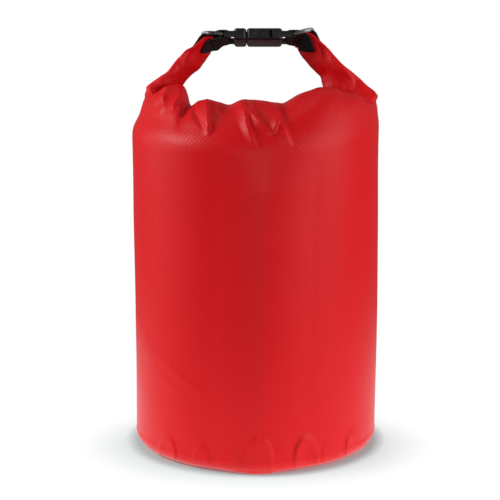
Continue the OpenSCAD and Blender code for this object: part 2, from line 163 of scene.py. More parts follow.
class Finish:
    """A material under construction, with the node that every cell here needs."""

    def __init__(self, name):
        self.material = bpy.data.materials.new(name)
        self.material.use_nodes = True
        self.tree = self.material.node_tree
        self.shader = self.tree.nodes["Principled BSDF"]

    def node(self, kind, settings, *values, out=0, **named):
        """Adds a node: first its settings, then its inputs by place or by name."""
        made = self.tree.nodes.new(kind)
        for key, setting in settings.items():
            setattr(made, key, setting)
        for place, value in [*enumerate(values), *named.items()]:
            self.feed(made.inputs[place], value)
        return Value(self, made.outputs[out])

    def feed(self, socket, value):
        """Links a value to a socket, or sets the socket to a plain number or colour."""
        if isinstance(value, Value):
            self.tree.links.new(value.socket, socket)
        else:
            socket.default_value = value

    def set(self, **inputs):
        """Sets the shader's own sockets; an underscore in a name stands for a space."""
        for key, value in inputs.items():
            self.feed(self.shader.inputs[key.replace("_", " ")], value)

    def parts(self, vector):
        """X, Y and Z of a vector, as three values."""
        made = self.tree.nodes.new("ShaderNodeSeparateXYZ")
        self.feed(made.inputs[0], vector)
        return [Value(self, socket) for socket in made.outputs]

    def place(self):
        """Object coordinates, in metres."""
        return self.node("ShaderNodeTexCoord", {}, out=3)

    def cloth_mm(self):
        """How far along and up the cloth a point lies, in millimetres, from its own map."""
        u, v, _ = self.parts(self.node("ShaderNodeUVMap", {"uv_map": "cloth"}))
        return u * 1000, v * 1000

    def noise(self, size_mm, detail=2.0):
        """Cloudy noise with lumps of this size."""
        return self.node("ShaderNodeTexNoise", {}, Vector=self.place(),
                         Scale=1000 / size_mm, Detail=detail, Roughness=0.5)

    def colour(self, factor, low, high):
        """A colour between low and high."""
        made = self.tree.nodes.new("ShaderNodeMix")
        made.data_type = "RGBA"
        self.feed(made.inputs[0], factor)
        for socket, rgb in ((made.inputs[6], low), (made.inputs[7], high)):
            self.feed(socket, rgb if isinstance(rgb, Value) else (*rgb, 1))
        return Value(self, made.outputs[2])

    def bump(self, height, distance_mm):
        """A normal for a surface that rises this far where the height is 1."""
        return self.node("ShaderNodeBump", {}, Strength=1.0, Distance=distance_mm * MM, Height=height)


print("shader helpers ready")

# %% [markdown]
# ## Coated fabric
#
# Dry bags are woven polyester with a smooth waterproof coating. The weave shows through
# the coating as a fine diamond grid about 3.6 mm wide, and the coating gives a broad,
# soft shine. The grid is a product of two cosines in the cloth's own millimetres, so it
# bends with every fold. A slow noise varies the colour and the shine a little, as cloth
# that has been handled does. In the rolled arms the cloth is drawn tight and its weave
# hardly shows, so they get the same fabric with a fainter weave.

# %% Coated red fabric
WEAVE_WIDTH, WEAVE_HEIGHT = 3.6, 3.2
YARN_WIDTH, YARN_HEIGHT = 0.9, 0.8
RED, DEEP_RED = (0.62, 0.0050, 0.0085), (0.56, 0.0038, 0.0065)


def coated_fabric(name, base, deep, roughness, weave=1.0):
    """Woven cloth under a coating, with this much of the weave to see."""
    finish = Finish(name)
    along, up = finish.cloth_mm()
    diamonds = along.wave(WEAVE_WIDTH) * up.wave(WEAVE_HEIGHT)
    yarn = along.wave(YARN_WIDTH) * 0.12 + up.wave(YARN_HEIGHT) * 0.12
    crumple = finish.noise(46, 3.0)
    wear = finish.noise(90, 2.0)
    height = diamonds * (0.5 * weave) + yarn * (0.6 * weave) + crumple * 4.0
    shade = (wear * 0.55 + 0.18 + diamonds * (0.12 * weave)).clamped()
    finish.set(Base_Color=finish.colour(shade, deep, base),
               Roughness=wear * 0.10 + roughness + diamonds * 0.03,
               Normal=finish.bump(height, 0.085),
               Specular_IOR_Level=0.16)
    return finish.material


red_fabric = coated_fabric("red_fabric", RED, DEEP_RED, 0.36)
rolled_fabric = coated_fabric("rolled_fabric", RED, DEEP_RED, 0.38, weave=0.15)
tape_film = coated_fabric("tape_film", (0.40, 0.010, 0.016), (0.34, 0.008, 0.012), 0.30)
print("fabrics:", red_fabric.name, rolled_fabric.name, "and", tape_film.name)

# %% [markdown]
# ## Webbing and thread
#
# The tabs are 25 mm polyester webbing: fine ribs run along it, and the weft crosses them
# in a herringbone. Both are cosines of the strip's own map. The thread is a plain
# two-ply twist.


# %% Webbing and thread
def webbing_finish():
    """Ribbed black polyester."""
    finish = Finish("webbing")
    across, along = finish.cloth_mm()
    ribs = across.wave(1.9)
    slant = (across * 0.8 + along).wave(1.3) * ribs
    fibre = finish.noise(0.8, 2.0)
    height = ribs * 0.5 + slant * 0.35 + fibre * 0.3
    shade = (height * 0.3 + 0.4).clamped()
    finish.set(Base_Color=finish.colour(shade, (0.003, 0.003, 0.0035), (0.010, 0.010, 0.011)),
               Roughness=fibre * 0.2 + 0.62, Normal=finish.bump(height, 0.22),
               Specular_IOR_Level=0.25)
    return finish.material


def thread_finish():
    """Black twisted thread."""
    finish = Finish("thread")
    x, y, z = finish.parts(finish.place())
    twist = ((x + y + z) * 1000).wave(0.5)
    finish.set(Base_Color=finish.colour(twist * 0.3 + 0.5, (0.005, 0.005, 0.006), (0.022, 0.022, 0.024)),
               Roughness=0.6, Normal=finish.bump(twist, 0.06), Specular_IOR_Level=0.3)
    return finish.material


webbing = webbing_finish()
thread = thread_finish()
print("webbing and thread ready")

# %% [markdown]
# ## Moulded plastic
#
# The buckle and the rings are injection-moulded black plastic. The buckle has a fine
# matt grain from its mould and slightly polished edges, and the rings are glossier, with a
# painted grey highlight in their colour towards their outer ends. The stiff strip
# inside the roll is plain translucent-white plastic.

# %% Moulded plastic
# where the painted grey highlight on the rings starts, and how far it grows, in mm
HIGHLIGHT_FROM, HIGHLIGHT_LENGTH = 33, 8
RING_BLACK, RING_HIGHLIGHT_GREY = (0.010, 0.010, 0.011), (0.27, 0.275, 0.29)
BUCKLE_BLACK, BUCKLE_WORN = (0.002, 0.002, 0.0025), (0.005, 0.005, 0.006)
STRIP_WHITE, STRIP_WORN = (0.62, 0.62, 0.58), (0.70, 0.70, 0.67)


def moulded(name, base, worn, roughness, grain_mm, coat):
    """Plastic with a fine grain from its mould, and a faint cloudiness."""
    finish = Finish(name)
    grain = finish.noise(grain_mm, 2.0)
    cloud = finish.noise(14, 2.0)
    finish.set(Base_Color=finish.colour((cloud * 0.9 + 0.05).clamped(), base, worn),
               Roughness=grain * 0.10 + cloud * 0.08 + roughness,
               Normal=finish.bump(grain, 0.025), Specular_IOR_Level=0.32,
               Coat_Weight=coat, Coat_Roughness=0.12)
    return finish.material


def ring_finish():
    """Glossy black, with a painted grey highlight towards the outer end of each ring."""
    finish = Finish("ring_plastic")
    x, _, _ = finish.parts(finish.place())
    # painted highlight: the base colour turns grey towards the outer end of each ring
    painted_highlight = ((x.size() * 1000 - HIGHLIGHT_FROM) / HIGHLIGHT_LENGTH).clamped()
    grain = finish.noise(2.2, 2.0)
    finish.set(Base_Color=finish.colour(painted_highlight * painted_highlight, RING_BLACK, RING_HIGHLIGHT_GREY),
               Roughness=grain * 0.06 + 0.10, Normal=finish.bump(grain, 0.02),
               Coat_Weight=0.6, Coat_Roughness=0.06)
    return finish.material


buckle_plastic = moulded("buckle_plastic", BUCKLE_BLACK, BUCKLE_WORN, 0.34, 0.7, 0.04)
strip_plastic = moulded("strip_plastic", STRIP_WHITE, STRIP_WORN, 0.42, 1.5, 0.0)
ring_plastic = ring_finish()
print("plastics:", buckle_plastic.name, strip_plastic.name, "and", ring_plastic.name)

# %% [markdown]
# ## Floor, world and lamps
#
# A pale floor with a soft shadow says that the bag stands on something. Near the bag the
# floor is plain paint that takes the shadow, darkest in a thin rim where the bag touches
# it. Further out it turns into even white for the camera, as a studio sweep does. The
# paint is a little blue-green, which cancels the red light that the bag throws on it. For
# every ray but the camera's, the floor glows near the bag and so lights its underside.
# Large soft lamps stand left, right and in front, and leave a slightly darker band down
# the middle of the bag.

# %% Floor and world
CONTACT_RADIUS, CONTACT_WIDTH = 0.099, 0.010
SHADOW_RADIUS, SHADOW_WIDTH = 0.095, 0.050
GLOW_RADIUS, GLOW_WIDTH = 0.22, 0.40
FLOOR_PAINT = (0.42, 0.66, 0.66, 1)


def floor_finish():
    """Paint near the bag, and even white further out."""
    finish = Finish("floor")
    x, y, _ = finish.parts(finish.place())
    spread = (x * x + (y + 0.02) * (y + 0.02) * 1.6).root()
    even = ((spread - SHADOW_RADIUS) / SHADOW_WIDTH).clamped().root()
    beside = ((x * x + y * y).root() - CONTACT_RADIUS) / CONTACT_WIDTH
    dark_rim = beside.clamped() * 0.8 + 0.2
    rays = finish.tree.nodes.new("ShaderNodeLightPath")
    seen = [Value(finish, rays.outputs[k]) for k in ("Is Camera Ray", "Is Transmission Ray")]
    looked = (seen[0] + seen[1]).clamped()
    share = looked * (even * 0.66 + 0.34) * dark_rim + (1 - looked) * 0.9
    bounce = (1 - (spread - GLOW_RADIUS) / GLOW_WIDTH).clamped() * 1.22 + 0.15
    finish.set(Base_Color=FLOOR_PAINT, Roughness=0.9, Specular_IOR_Level=0.05)
    glow = finish.node("ShaderNodeEmission", {}, (1, 1, 1, 1), looked + (1 - looked) * bounce)
    paint = Value(finish, finish.shader.outputs[0])
    mixed = finish.node("ShaderNodeMixShader", {}, share, paint, glow)
    finish.tree.links.new(mixed.socket, finish.tree.nodes["Material Output"].inputs[0])
    return finish.material


def make_floor(radius=3.0, sides=96):
    """A large disc, which is part of the stage and not of the bag."""
    turns = [2 * math.pi * k / sides for k in range(sides)]
    ring = [(radius * math.cos(turn), radius * math.sin(turn), 0) for turn in turns]
    mesh = bpy.data.meshes.new("floor")
    mesh.from_pydata(ring, [], [list(range(sides))])
    mesh.materials.append(floor_finish())
    floor = bpy.data.objects.new("floor", mesh)
    bpy.context.scene.collection.objects.link(floor)
    floor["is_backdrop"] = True


def make_world(light, white):
    """White where the camera looks, also through clear things, and softer as a light."""
    world = bpy.data.worlds.new("studio")
    world.use_nodes = True
    tree = world.node_tree
    rays = tree.nodes.new("ShaderNodeLightPath")
    seen = tree.nodes.new("ShaderNodeMath")
    seen.operation, seen.use_clamp = "ADD", True
    tree.links.new(rays.outputs["Is Camera Ray"], seen.inputs[0])
    tree.links.new(rays.outputs["Is Transmission Ray"], seen.inputs[1])
    strength = tree.nodes.new("ShaderNodeMapRange")
    strength.inputs["To Min"].default_value = light
    strength.inputs["To Max"].default_value = white
    tree.links.new(seen.outputs[0], strength.inputs["Value"])
    background = tree.nodes["Background"]
    background.inputs["Color"].default_value = (1, 1, 1, 1)
    tree.links.new(strength.outputs[0], background.inputs["Strength"])
    bpy.context.scene.world = world


make_floor()
make_world(light=0.20, white=1.0)
print("floor and world ready")


# %% Lamps
def soft_lamp(name, at, aim, size, power):
    """A rectangular soft box at a place, turned to face another."""
    data = bpy.data.lights.new(name, "AREA")
    data.shape, data.size, data.size_y = "RECTANGLE", *size
    data.energy = power
    lamp = bpy.data.objects.new(name, data)
    lamp.location = at
    direction = [a - b for a, b in zip(at, aim)]
    length = math.hypot(*direction)
    lamp.rotation_euler = (math.acos(direction[2] / length), 0,
                           math.atan2(direction[1], direction[0]) + math.pi / 2)
    bpy.context.scene.collection.objects.link(lamp)


MIDDLE = (0, 0, 0.17)
soft_lamp("left_low", (-1.15, 0.00, 0.42), MIDDLE, (1.0, 0.8), 5.2)
soft_lamp("right_low", (1.08, -0.50, 0.42), MIDDLE, (0.9, 0.8), 9.4)
soft_lamp("left_high", (-1.00, -0.15, 0.85), MIDDLE, (0.36, 0.36), 8.2)
soft_lamp("right_high", (1.05, 0.05, 0.80), MIDDLE, (0.6, 0.6), 1.6)
soft_lamp("front", (0.05, -1.95, 0.42), MIDDLE, (1.0, 0.7), 7.0)
soft_lamp("top", (0.0, 0.15, 1.4), MIDDLE, (0.6, 0.6), 1.0)
bpy.context.scene.view_settings.view_transform = "Standard"

# %% [markdown]
# ## Shapes from rings of points
#
# Every soft piece here is a loft: rings of points, one after another, joined by faces.
# The helpers work in millimetres with whole arrays of points, which is quick and lets a
# fold be written as a formula over the surface. Each piece also gets a map called cloth,
# which holds how far along the cloth every point lies.


# %% Lofting helpers
def mix(a, b, s):
    """From a to b as s goes from 0 to 1."""
    return a + (b - a) * s


def smooth(s):
    """From 0 to 1 with a gentle start and end."""
    c = np.clip(s, 0, 1)
    return c * c * (3 - 2 * c)


def through(x, points):
    """A smooth curve through (x, value) points, without overshoot between them."""
    xs, ys = np.array(points, float).T
    slopes = np.diff(ys) / np.diff(xs)
    before, after = slopes[:-1], slopes[1:]
    tangents = np.zeros(len(xs))
    same_way = before * after > 0
    tangents[1:-1][same_way] = (2 * before * after / (before + after + 1e-12))[same_way]
    tangents[0], tangents[-1] = slopes[0], slopes[-1]
    k = np.clip(np.searchsorted(xs, x) - 1, 0, len(xs) - 2)
    gap = xs[k + 1] - xs[k]
    s = np.clip((x - xs[k]) / gap, 0, 1)
    return ((2 * s**3 - 3 * s**2 + 1) * ys[k] + (s**3 - 2 * s**2 + s) * gap * tangents[k]
            + (3 * s**2 - 2 * s**3) * ys[k + 1] + (s**3 - s**2) * gap * tangents[k + 1])


def surface_normals(points):
    """Unit normals of a ring-by-ring surface, outwards where rings turn left as they rise."""
    around = np.roll(points, -1, 1) - np.roll(points, 1, 1)
    up = np.gradient(points, axis=0)
    normal = np.cross(around, up)
    return normal / (np.linalg.norm(normal, axis=2, keepdims=True) + 1e-9)


def cloth_map(points):
    """Distances in millimetres along each ring and up each column."""
    around = np.linalg.norm(np.roll(points, -1, 1) - points, axis=2)
    u = np.concatenate([np.zeros((len(points), 1)), np.cumsum(around, 1)], 1)
    u = np.repeat(u[[len(u) // 3]], len(points), 0)
    rise = np.linalg.norm(np.diff(points, axis=0), axis=2).mean(1)
    v = np.concatenate([[0], np.cumsum(rise)])
    return u, np.repeat(v[:, None], points.shape[1] + 1, 1)


def capped(rings):
    """The rings with both ends drawn in to a spot, so that their loft is closed."""
    first, last = [np.repeat(r.mean(0)[None], len(r), 0) for r in (rings[0], rings[-1])]
    return np.array([first, *rings, last])


def loft(name, points, material):
    """A closed piece from rings of points; its first and last rings may be single spots."""
    rows, sides, _ = points.shape
    i, j = np.meshgrid(np.arange(rows - 1), np.arange(sides), indexing="ij")
    corners = [(i, j), (i, j + 1), (i + 1, j + 1), (i + 1, j)]
    faces = np.stack([a * sides + b % sides for a, b in corners], -1).reshape(-1, 4)
    u, v = cloth_map(points)
    uv = np.stack([np.stack([u[a, b], v[a, b]], -1) for a, b in corners], 2).reshape(-1, 2)
    mesh = bpy.data.meshes.new(name)
    mesh.from_pydata((points.reshape(-1, 3) * MM).tolist(), [], faces.tolist())
    mesh.uv_layers.new(name="cloth").data.foreach_set("uv", (uv * MM).ravel())
    return finished(name, mesh, material)


def finished(name, mesh, material, weld=0.01):
    """The piece: doubled points merged, faces turned outwards, smooth, and in the scene."""
    work = bmesh.new()
    work.from_mesh(mesh)
    bmesh.ops.remove_doubles(work, verts=work.verts, dist=weld * MM)
    bmesh.ops.recalc_face_normals(work, faces=work.faces)
    work.to_mesh(mesh)
    work.free()
    mesh.materials.clear()
    mesh.materials.append(material)
    mesh.polygons.foreach_set("use_smooth", np.ones(len(mesh.polygons), bool))
    piece = bpy.data.objects.new(name, mesh)
    bpy.context.scene.collection.objects.link(piece)
    return piece


print("lofting helpers ready")

# %% [markdown]
# ## Folds
#
# The folds of the real bag are pleats: one side of a pleat rises gently and catches the
# light, and the other falls away steeply and is dark. A fold here is a line on the front
# of the bag, seen from the camera, with a height and a width on each side. The cloth
# under it moves towards the viewer and not along its own normal, so that a deep fold
# doesn't change the bag's outline. Where a fold runs up to the crest it goes over it at
# full height, and at its lower end it fades out. A simulation would give folds too, but
# not these ones, and a formula puts each where it belongs.


# %% Folds as a formula
def front_view(points):
    """Where each point appears from the camera, as x and z on the plane y = 0."""
    sine, cosine = math.sin(CAMERA_PITCH), math.cos(CAMERA_PITCH)
    far, high = CAMERA_DISTANCE / MM, TARGET_HEIGHT / MM
    x, y, z = points[..., 0], points[..., 1], points[..., 2] - high
    depth = far + y * cosine - z * sine
    k = (y * sine + z * cosine) / depth
    seen_z = k * far / (cosine + k * sine)
    seen_depth = far - seen_z * sine
    return x * seen_depth / depth, high + seen_z


def pleat(x, z, line, height, left, right, fade=0.5):
    """Height of a pleat along a line of (x, z) points from its top to its lower tip."""
    total = np.zeros_like(x)
    line = np.array(line, float)
    lengths = np.linalg.norm(np.diff(line, axis=0), axis=1)
    reach = np.concatenate([[0], np.cumsum(lengths)]) / lengths.sum()
    nearest = np.full_like(x, 1e9)
    for k in range(len(line) - 1):
        d = (line[k + 1] - line[k]) / lengths[k]
        along = (x - line[k, 0]) * d[0] + (z - line[k, 1]) * d[1]
        low = -60 if k == 0 else 0
        held = np.clip(along, low, lengths[k])
        side = -(x - line[k, 0]) * d[1] + (z - line[k, 1]) * d[0]
        gap = np.hypot(side, along - held)
        share = np.clip(mix(reach[k], reach[k + 1], held / lengths[k]), 0, 1)
        width = np.where(side > 0, right, left) * mix(1, 0.35, share)
        rise = np.clip(1 - gap / width, 0, 1)
        rise = rise * (1 - 0.35 * (1 - rise)) * (1 - share) ** fade
        total = np.where(gap < nearest, rise, total)
        nearest = np.minimum(gap, nearest)
    return height * total


def scallop(x, z, middle, top, half_width, drop, height):
    """A facet that leans under at the base: an arch whose rim stands out most."""
    across = np.clip(1 - ((x - middle) / half_width) ** 2, 0, 1)
    rim = top - drop * (1 - np.sqrt(across))
    below = (rim - z) / drop
    inside = np.where(below > 0, np.clip(1 - below, 0, 1), np.clip(1 + below * drop / 3.5, 0, 1))
    return height * inside * smooth(across * 4)


def on_front(points):
    """1 on the front of the bag, 0 on its back, with a soft change between them."""
    return smooth((30 - points[..., 1]) / 20)


def toward_viewer(points):
    """The way in which folds rise: forwards and up in front, backwards and up behind."""
    ahead = mix(1, -1, on_front(points))
    way = np.stack([0 * ahead, ahead * math.cos(CAMERA_PITCH),
                    0 * ahead + math.sin(CAMERA_PITCH)], -1)
    return way / np.linalg.norm(way, axis=-1, keepdims=True)


print("fold helpers ready")

# %% [markdown]
# ## Where the folds lie
#
# These are the folds that the photograph shows, in millimetres across the front and up
# from the floor: a sharp pleat in the middle of the crest with a lighter facet beside it,
# a light three-cornered facet near the left corner, short creases in the left ear, two
# long slanting creases low on the left, and scalloped dents where the wall is gathered
# into the base. The back, which no one has seen, gets softer folds of the same kind.

# %% The bag's own folds
PLEATS = [
    # line from the crest down, height, width to the left, width to the right
    ([(-9, 285), (-6, 280), (-2, 273.8), (3.7, 266.5), (9.4, 260.8), (13.4, 255.9)], 10.5, 12, 4),
    ([(19.5, 286), (19, 280), (18.3, 270), (15.9, 257)], 8.0, 15, 4),
    ([(26, 288), (25, 276), (24, 266)], -4.6, 5, 10),
    ([(-9, 274), (-7.7, 268.9), (-4.5, 257.5), (-1.2, 248.5), (2, 243.6)], 5.6, 9, 4),
    ([(17, 271), (19.1, 267.3), (24, 255.9), (28.9, 246.1)], 4.2, 13, 6),
    ([(-39, 287), (-38.5, 282.8), (-37.9, 255)], 9.5, 13, 3),
    ([(-52, 282), (-49, 274), (-44, 265), (-39, 256)], -3.6, 5, 3),
    ([(-35, 282), (-31, 277), (-27.2, 271.5)], 3.4, 4.5, 4.5),
    ([(-24, 286), (-22, 279), (-21, 272)], -1.6, 6, 7),
    ([(-72, 293), (-71.7, 291), (-75.8, 286), (-81.6, 282), (-88, 281)], 5.6, 4, 6),
    ([(-60, 289), (-61.2, 286.8), (-64.5, 282.8), (-68.6, 277.1)], 4.0, 4, 4.4),
    ([(-55, 284), (-55.6, 282), (-59.7, 277.1), (-63.8, 270.6)], 4.0, 4, 4.6),
    ([(-75, 282), (-75.1, 279.5), (-77.6, 272)], 2.6, 4, 4.6),
    ([(46, 296), (44, 288), (38, 278)], -0.7, 9, 9),
    ([(-98, 101), (-88, 79), (-75, 64), (-59, 49), (-42, 36)], 1.5, 16, 6),
    ([(-94, 78), (-84, 58), (-70, 44), (-52, 32)], 0.9, 12, 6),
    ([(70, 292), (66, 280), (62, 268)], -0.6, 10, 12),
]
CREST_PLEATS = 9
SCALLOPS = [
    # middle, top, half width, drop, height
    (3.5, -2, 11, 24, 2.4), (43, -2, 11, 24, 2.4), (-46, -11, 7, 14, 1.5), (-75, -2, 8, 18, 1.8),
    (84, 3, 8, 16, 2.0), (-22, -14, 9, 14, 0.9), (64, -5, 8, 18, 0.8), (23, -11, 9, 16, 0.6),
]


def front_folds(points):
    """Height of all folds over the front, and of softer ones of the same kind behind."""
    x, z = front_view(points)
    height = np.zeros_like(x)
    front = on_front(points)
    for line, rise, left, right in PLEATS:
        height += front * pleat(x, z, line, rise, left, right)
    for middle, top, half_width, drop, rise in SCALLOPS:
        height += front * scallop(x, z, middle, top, half_width, drop, rise)
    back = 1 - front
    x, z = -points[..., 0] + 9, points[..., 2] + points[..., 1] * 0.12 - 4
    for line, rise, left, right in PLEATS[:CREST_PLEATS]:
        height += back * pleat(x, z, line, rise * 0.75, left * 1.1, right * 1.3)
    x, z = points[..., 0] * 0.93, points[..., 2] - 26
    for middle, top, half_width, drop, rise in SCALLOPS:
        height += back * scallop(x, z, middle, top, half_width, drop, rise * 0.8)
    return height


print("folds:", len(PLEATS), "pleats and", len(SCALLOPS), "scallops")

# %% [markdown]
# ## The bag
#
# The wall is a round tube up to its shoulder. Above that, the front and the back puff up
# into two crests with a valley between them, where the roll lies. The crest's height
# comes from the photograph: high at the left ear, a notch beside it, three low waves and
# a full bulge on the right. A quarter ellipse carries the round wall up to the crest, and
# nearer the two corners it straightens, because there the cloth is pulled tight.

# %% The bag's sizes
BAG_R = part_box("bag_wall")[1].x / MM
EDGE_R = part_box("bag_wall")[0].z / MM
SHOULDER_FRONT, SHOULDER_LEFT, SHOULDER_RIGHT = 250, 254, 262
CREST_MIDDLE, CREST_REACH = 5, 92
RIDGE_HEIGHT, RIDGE_HALF_WIDTH = 4.6, 38
AROUND = 440
# The crest of the front: x, distance in front of the middle, and height
FRONT_CREST = [
    (-87, 0, 289), (-84, 10, 289.5), (-79, 14, 291.8), (-73, 16, 295.4), (-66, 17, 298.2),
    (-60, 18, 298.8), (-56, 21, 296.2), (-53.5, 26, 290.5), (-51.3, 33, 283.5), (-49, 37, 285),
    (-44, 41, 288.2), (-36, 43, 289), (-28, 45, 287.6), (-21, 45, 285.7), (-12, 45, 288.2),
    (-3, 45, 289.4), (5, 45, 288.6), (13, 45, 287), (20, 45, 286.4), (26, 45, 289.4),
    (33, 44, 293.4), (42, 43, 296.6), (51, 41, 299), (62, 37, 298), (71, 33, 294.2),
    (81, 25, 291.6), (88, 17, 286.4), (93, 10, 283.4), (97, 0, 282.4),
]
BACK_CREST = [
    (-87, 0, 289), (-80, 14, 286), (-68, 25, 280), (-55, 36, 272.5), (-38, 42, 271),
    (-18, 44, 269), (2, 44, 271), (22, 44, 269.5), (42, 42, 274), (60, 36, 278),
    (78, 25, 279.5), (90, 13, 281), (97, 0, 282.4),
]
ROLL_LOW, ROLL_HIGH = (c.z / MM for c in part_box("roll_centre"))
ROLL_HALF_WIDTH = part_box("roll_centre")[1].y / MM
print("bag radius", round(BAG_R, 1), "mm, roll from", round(ROLL_LOW, 1), "to", round(ROLL_HIGH, 1))


# %% The bag's surface
def valley_floor(x):
    """The roll lies in the valley, which is lowest in the middle."""
    return ROLL_LOW - 0.8 + 4.4 * smooth((np.abs(x) - 40) / 36)


def evened(points, width):
    """The same closed ring of points, averaged over this many neighbours."""
    reach = np.arange(-width, width + 1)
    weights = np.exp(-(reach / (width * 0.45)) ** 2)
    return sum(w * np.roll(points, r, 0) for w, r in zip(weights, reach)) / weights.sum()


def crest(turn):
    """Points of the crest all the way round, from the right corner over the back."""
    x = CREST_MIDDLE + CREST_REACH * np.cos(turn)
    front = np.sin(turn) < 0
    out = np.where(front, through(x, [(a, b) for a, b, _ in FRONT_CREST]),
                   through(x, [(a, b) for a, b, _ in BACK_CREST]))
    z = np.where(front, through(x, [(a, c) for a, _, c in FRONT_CREST]),
                 through(x, [(a, c) for a, _, c in BACK_CREST]))
    return np.stack([x, np.where(front, -out, out), z], -1)


def bag_rings():
    """The smooth bag: underside, round edge, wall, shoulder up to the crest, and valley."""
    turn = np.linspace(0, 2 * np.pi, AROUND, endpoint=False)
    side = np.cos(turn)
    leftness, rightness = ((1 - side) / 2) ** 6, ((1 + side) / 2) ** 6
    start = (SHOULDER_FRONT + (SHOULDER_LEFT - SHOULDER_FRONT) * leftness
             + (SHOULDER_RIGHT - SHOULDER_FRONT) * rightness)
    wall = np.stack([BAG_R * side, BAG_R * np.sin(turn), start], -1)
    top = crest(turn)
    even_top = evened(top, 42)
    rings = [np.stack([0 * side, 0 * side, 0 * side + 6], -1)]
    for r, z in ((0.5, 6), (0.88, 5), (0.925, 2.6)):
        rings.append(np.stack([wall[:, 0] * r, wall[:, 1] * r, 0 * side + z], -1))
    for b in np.radians(np.linspace(30, 86, 12)):
        r = 1 - EDGE_R * (1 - np.sin(b)) / BAG_R
        z = EDGE_R * (1 - np.cos(b))
        rings.append(np.stack([wall[:, 0] * r, wall[:, 1] * r, 0 * side + z], -1))
    for s in np.linspace(0, 1, 84)[:-1]:
        z = mix(EDGE_R, start, s)
        sag = 1 - 0.003 * smooth((120 - z) / 110)
        rings.append(np.stack([wall[:, 0] * sag, wall[:, 1] * sag, z], -1))
    tight = 0.04 + 0.71 * leftness + 0.26 * rightness
    for a in np.linspace(0, np.pi / 2, 56):
        inward = mix((1 - np.cos(a)) ** 1.2, np.sin(a) * smooth(a / 0.6), tight)
        goal = mix(even_top, top, smooth((np.sin(a) - 0.35) / 0.6))
        rings.append(np.concatenate([mix(wall[:, :2], goal[:, :2], inward[:, None]),
                                     mix(wall[:, 2], goal[:, 2], np.sin(a))[:, None]], 1))
    floor_z = valley_floor(top[:, 0])
    foot = np.sign(top[:, 1]) * np.minimum(ROLL_HALF_WIDTH + 1.5, 0.8 * np.abs(top[:, 1]))
    for s in np.linspace(0, 1, 24)[1:]:
        drop = (1 - np.cos(np.pi * s)) / 2
        rings.append(np.stack([top[:, 0], mix(top[:, 1], foot, s), mix(top[:, 2], floor_z, drop)], -1))
    for s in (0.3, 0.65, 1):
        rings.append(np.stack([top[:, 0], mix(foot, 0, s), floor_z], -1))
    return np.array(rings)


def slow_waves(points):
    """Height of a very slight unevenness, so that the filled tube isn't a perfect cylinder."""
    x, y, z = points[..., 0], points[..., 1], points[..., 2]
    turn = np.arctan2(y, x)
    body = np.sin(np.pi * np.clip(z / 235, 0, 1))
    broad = (0.7 * np.sin(3 * turn + 0.8) + 0.35 * np.sin(5 * turn + z / 55)) * body
    return broad + 0.25 * np.sin(z / 21 + 4 * turn) * smooth((z - 150) / 80)


def long_ridge(points):
    """A blunt ridge down the front, where the cloth is drawn between the crest and the base."""
    x, z = points[..., 0], points[..., 2]
    aside = np.abs(x - 9 + 0.03 * (235 - z))
    tent = np.sqrt(aside**2 + 9) / RIDGE_HALF_WIDTH
    in_front = smooth((points[..., 1] + 30) / -40)
    return RIDGE_HEIGHT * np.clip(1 - tent, 0, 1) * in_front * smooth((262 - z) / 40)


def dressed_bag():
    """The bag with its folds towards the viewer, and its waves along the normals."""
    points = bag_rings()
    # folds stay off the hidden underside and fade down into the valley
    row = np.arange(len(points))[:, None]
    calm = smooth((row - 4) / 2) * smooth((len(points) - row - 5) / 18)
    folds = toward_viewer(points) * (front_folds(points) * calm)[..., None]
    waves = (slow_waves(points) + long_ridge(points)) * calm
    return points + folds + surface_normals(points) * waves[..., None] * (1, 1, 0.3)


bag_points = dressed_bag()
bag_body = loft("bag_body", bag_points, red_fabric)
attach(bag_body, "bag")
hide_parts("bag_wall")
print("bag:", len(bag_body.data.polygons), "faces, crest at", round(bag_points[..., 2].max(), 1), "mm")

# %% [markdown]
# ## The base
#
# The base is a disc of the same fabric with its edge turned up inside the wall and
# welded to it. Filled, it rounds over about 12 mm, and the gathered edge runs in slow
# waves. It is its own piece: it starts inside the wall's hem, comes out under it, and
# turns under to the floor.


# %% The base
def base_rings():
    """From the middle of the underside, round the edge, and up inside the wall."""
    turn = np.linspace(0, 2 * np.pi, AROUND, endpoint=False)
    lip_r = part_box("base_panel")[1].x / MM
    flat_r = lip_r - EDGE_R
    waves = 0.9 * np.sin(7 * turn + 1.0) + 0.7 * np.sin(11 * turn + 2.2) + 0.5 * np.sin(17 * turn)
    ripple = waves * 0.6
    rings = []
    for r in (0, 0.3, 0.6, 0.8):
        rings.append((np.full_like(turn, r * flat_r), np.zeros_like(turn)))
    for a in np.linspace(0, np.pi / 2, 16):
        edge = np.sin(2 * a)
        rings.append((flat_r + EDGE_R * np.sin(a) + 0.3 * ripple * edge,
                      EDGE_R * (1 - np.cos(a)) + 0 * turn))
    for r, z in ((-0.6, 14), (-1.4, 18), (-8, 18.5), (-lip_r, 18.5)):
        rings.append((np.full_like(turn, lip_r + r), np.full_like(turn, float(z))))
    return np.array([np.stack([r * np.cos(turn), r * np.sin(turn), z], -1) for r, z in rings])


def dressed_base():
    """The base with the same folds as the wall, where it shows."""
    points = base_rings()
    lifted = smooth(points[..., 2] / 3) * (points[..., 2] < 13)
    height = front_folds(points) + long_ridge(points)
    return points + surface_normals(points) * (height * lifted)[..., None]


base = loft("base", dressed_base(), red_fabric)
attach(base, "bag")
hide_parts("base_panel")
print("base:", len(base.data.polygons), "faces")

# %% [markdown]
# ## The roll
#
# The mouth is rolled flat over a strip and lies in the valley. Seen from above it is a
# soft flattened bar, with the edge of each wrap as a groove along it. It is lofted from
# flattened ovals along x; the grooves are part of the oval's own formula.


# %% Flattened ovals
def oval(angles, half_width, half_thick, power=2.5):
    """Across and through coordinates of a flattened oval."""
    c, s = np.cos(angles), np.sin(angles)
    return (half_width * np.sign(c) * np.abs(c) ** (2 / power),
            half_thick * np.sign(s) * np.abs(s) ** (2 / power))


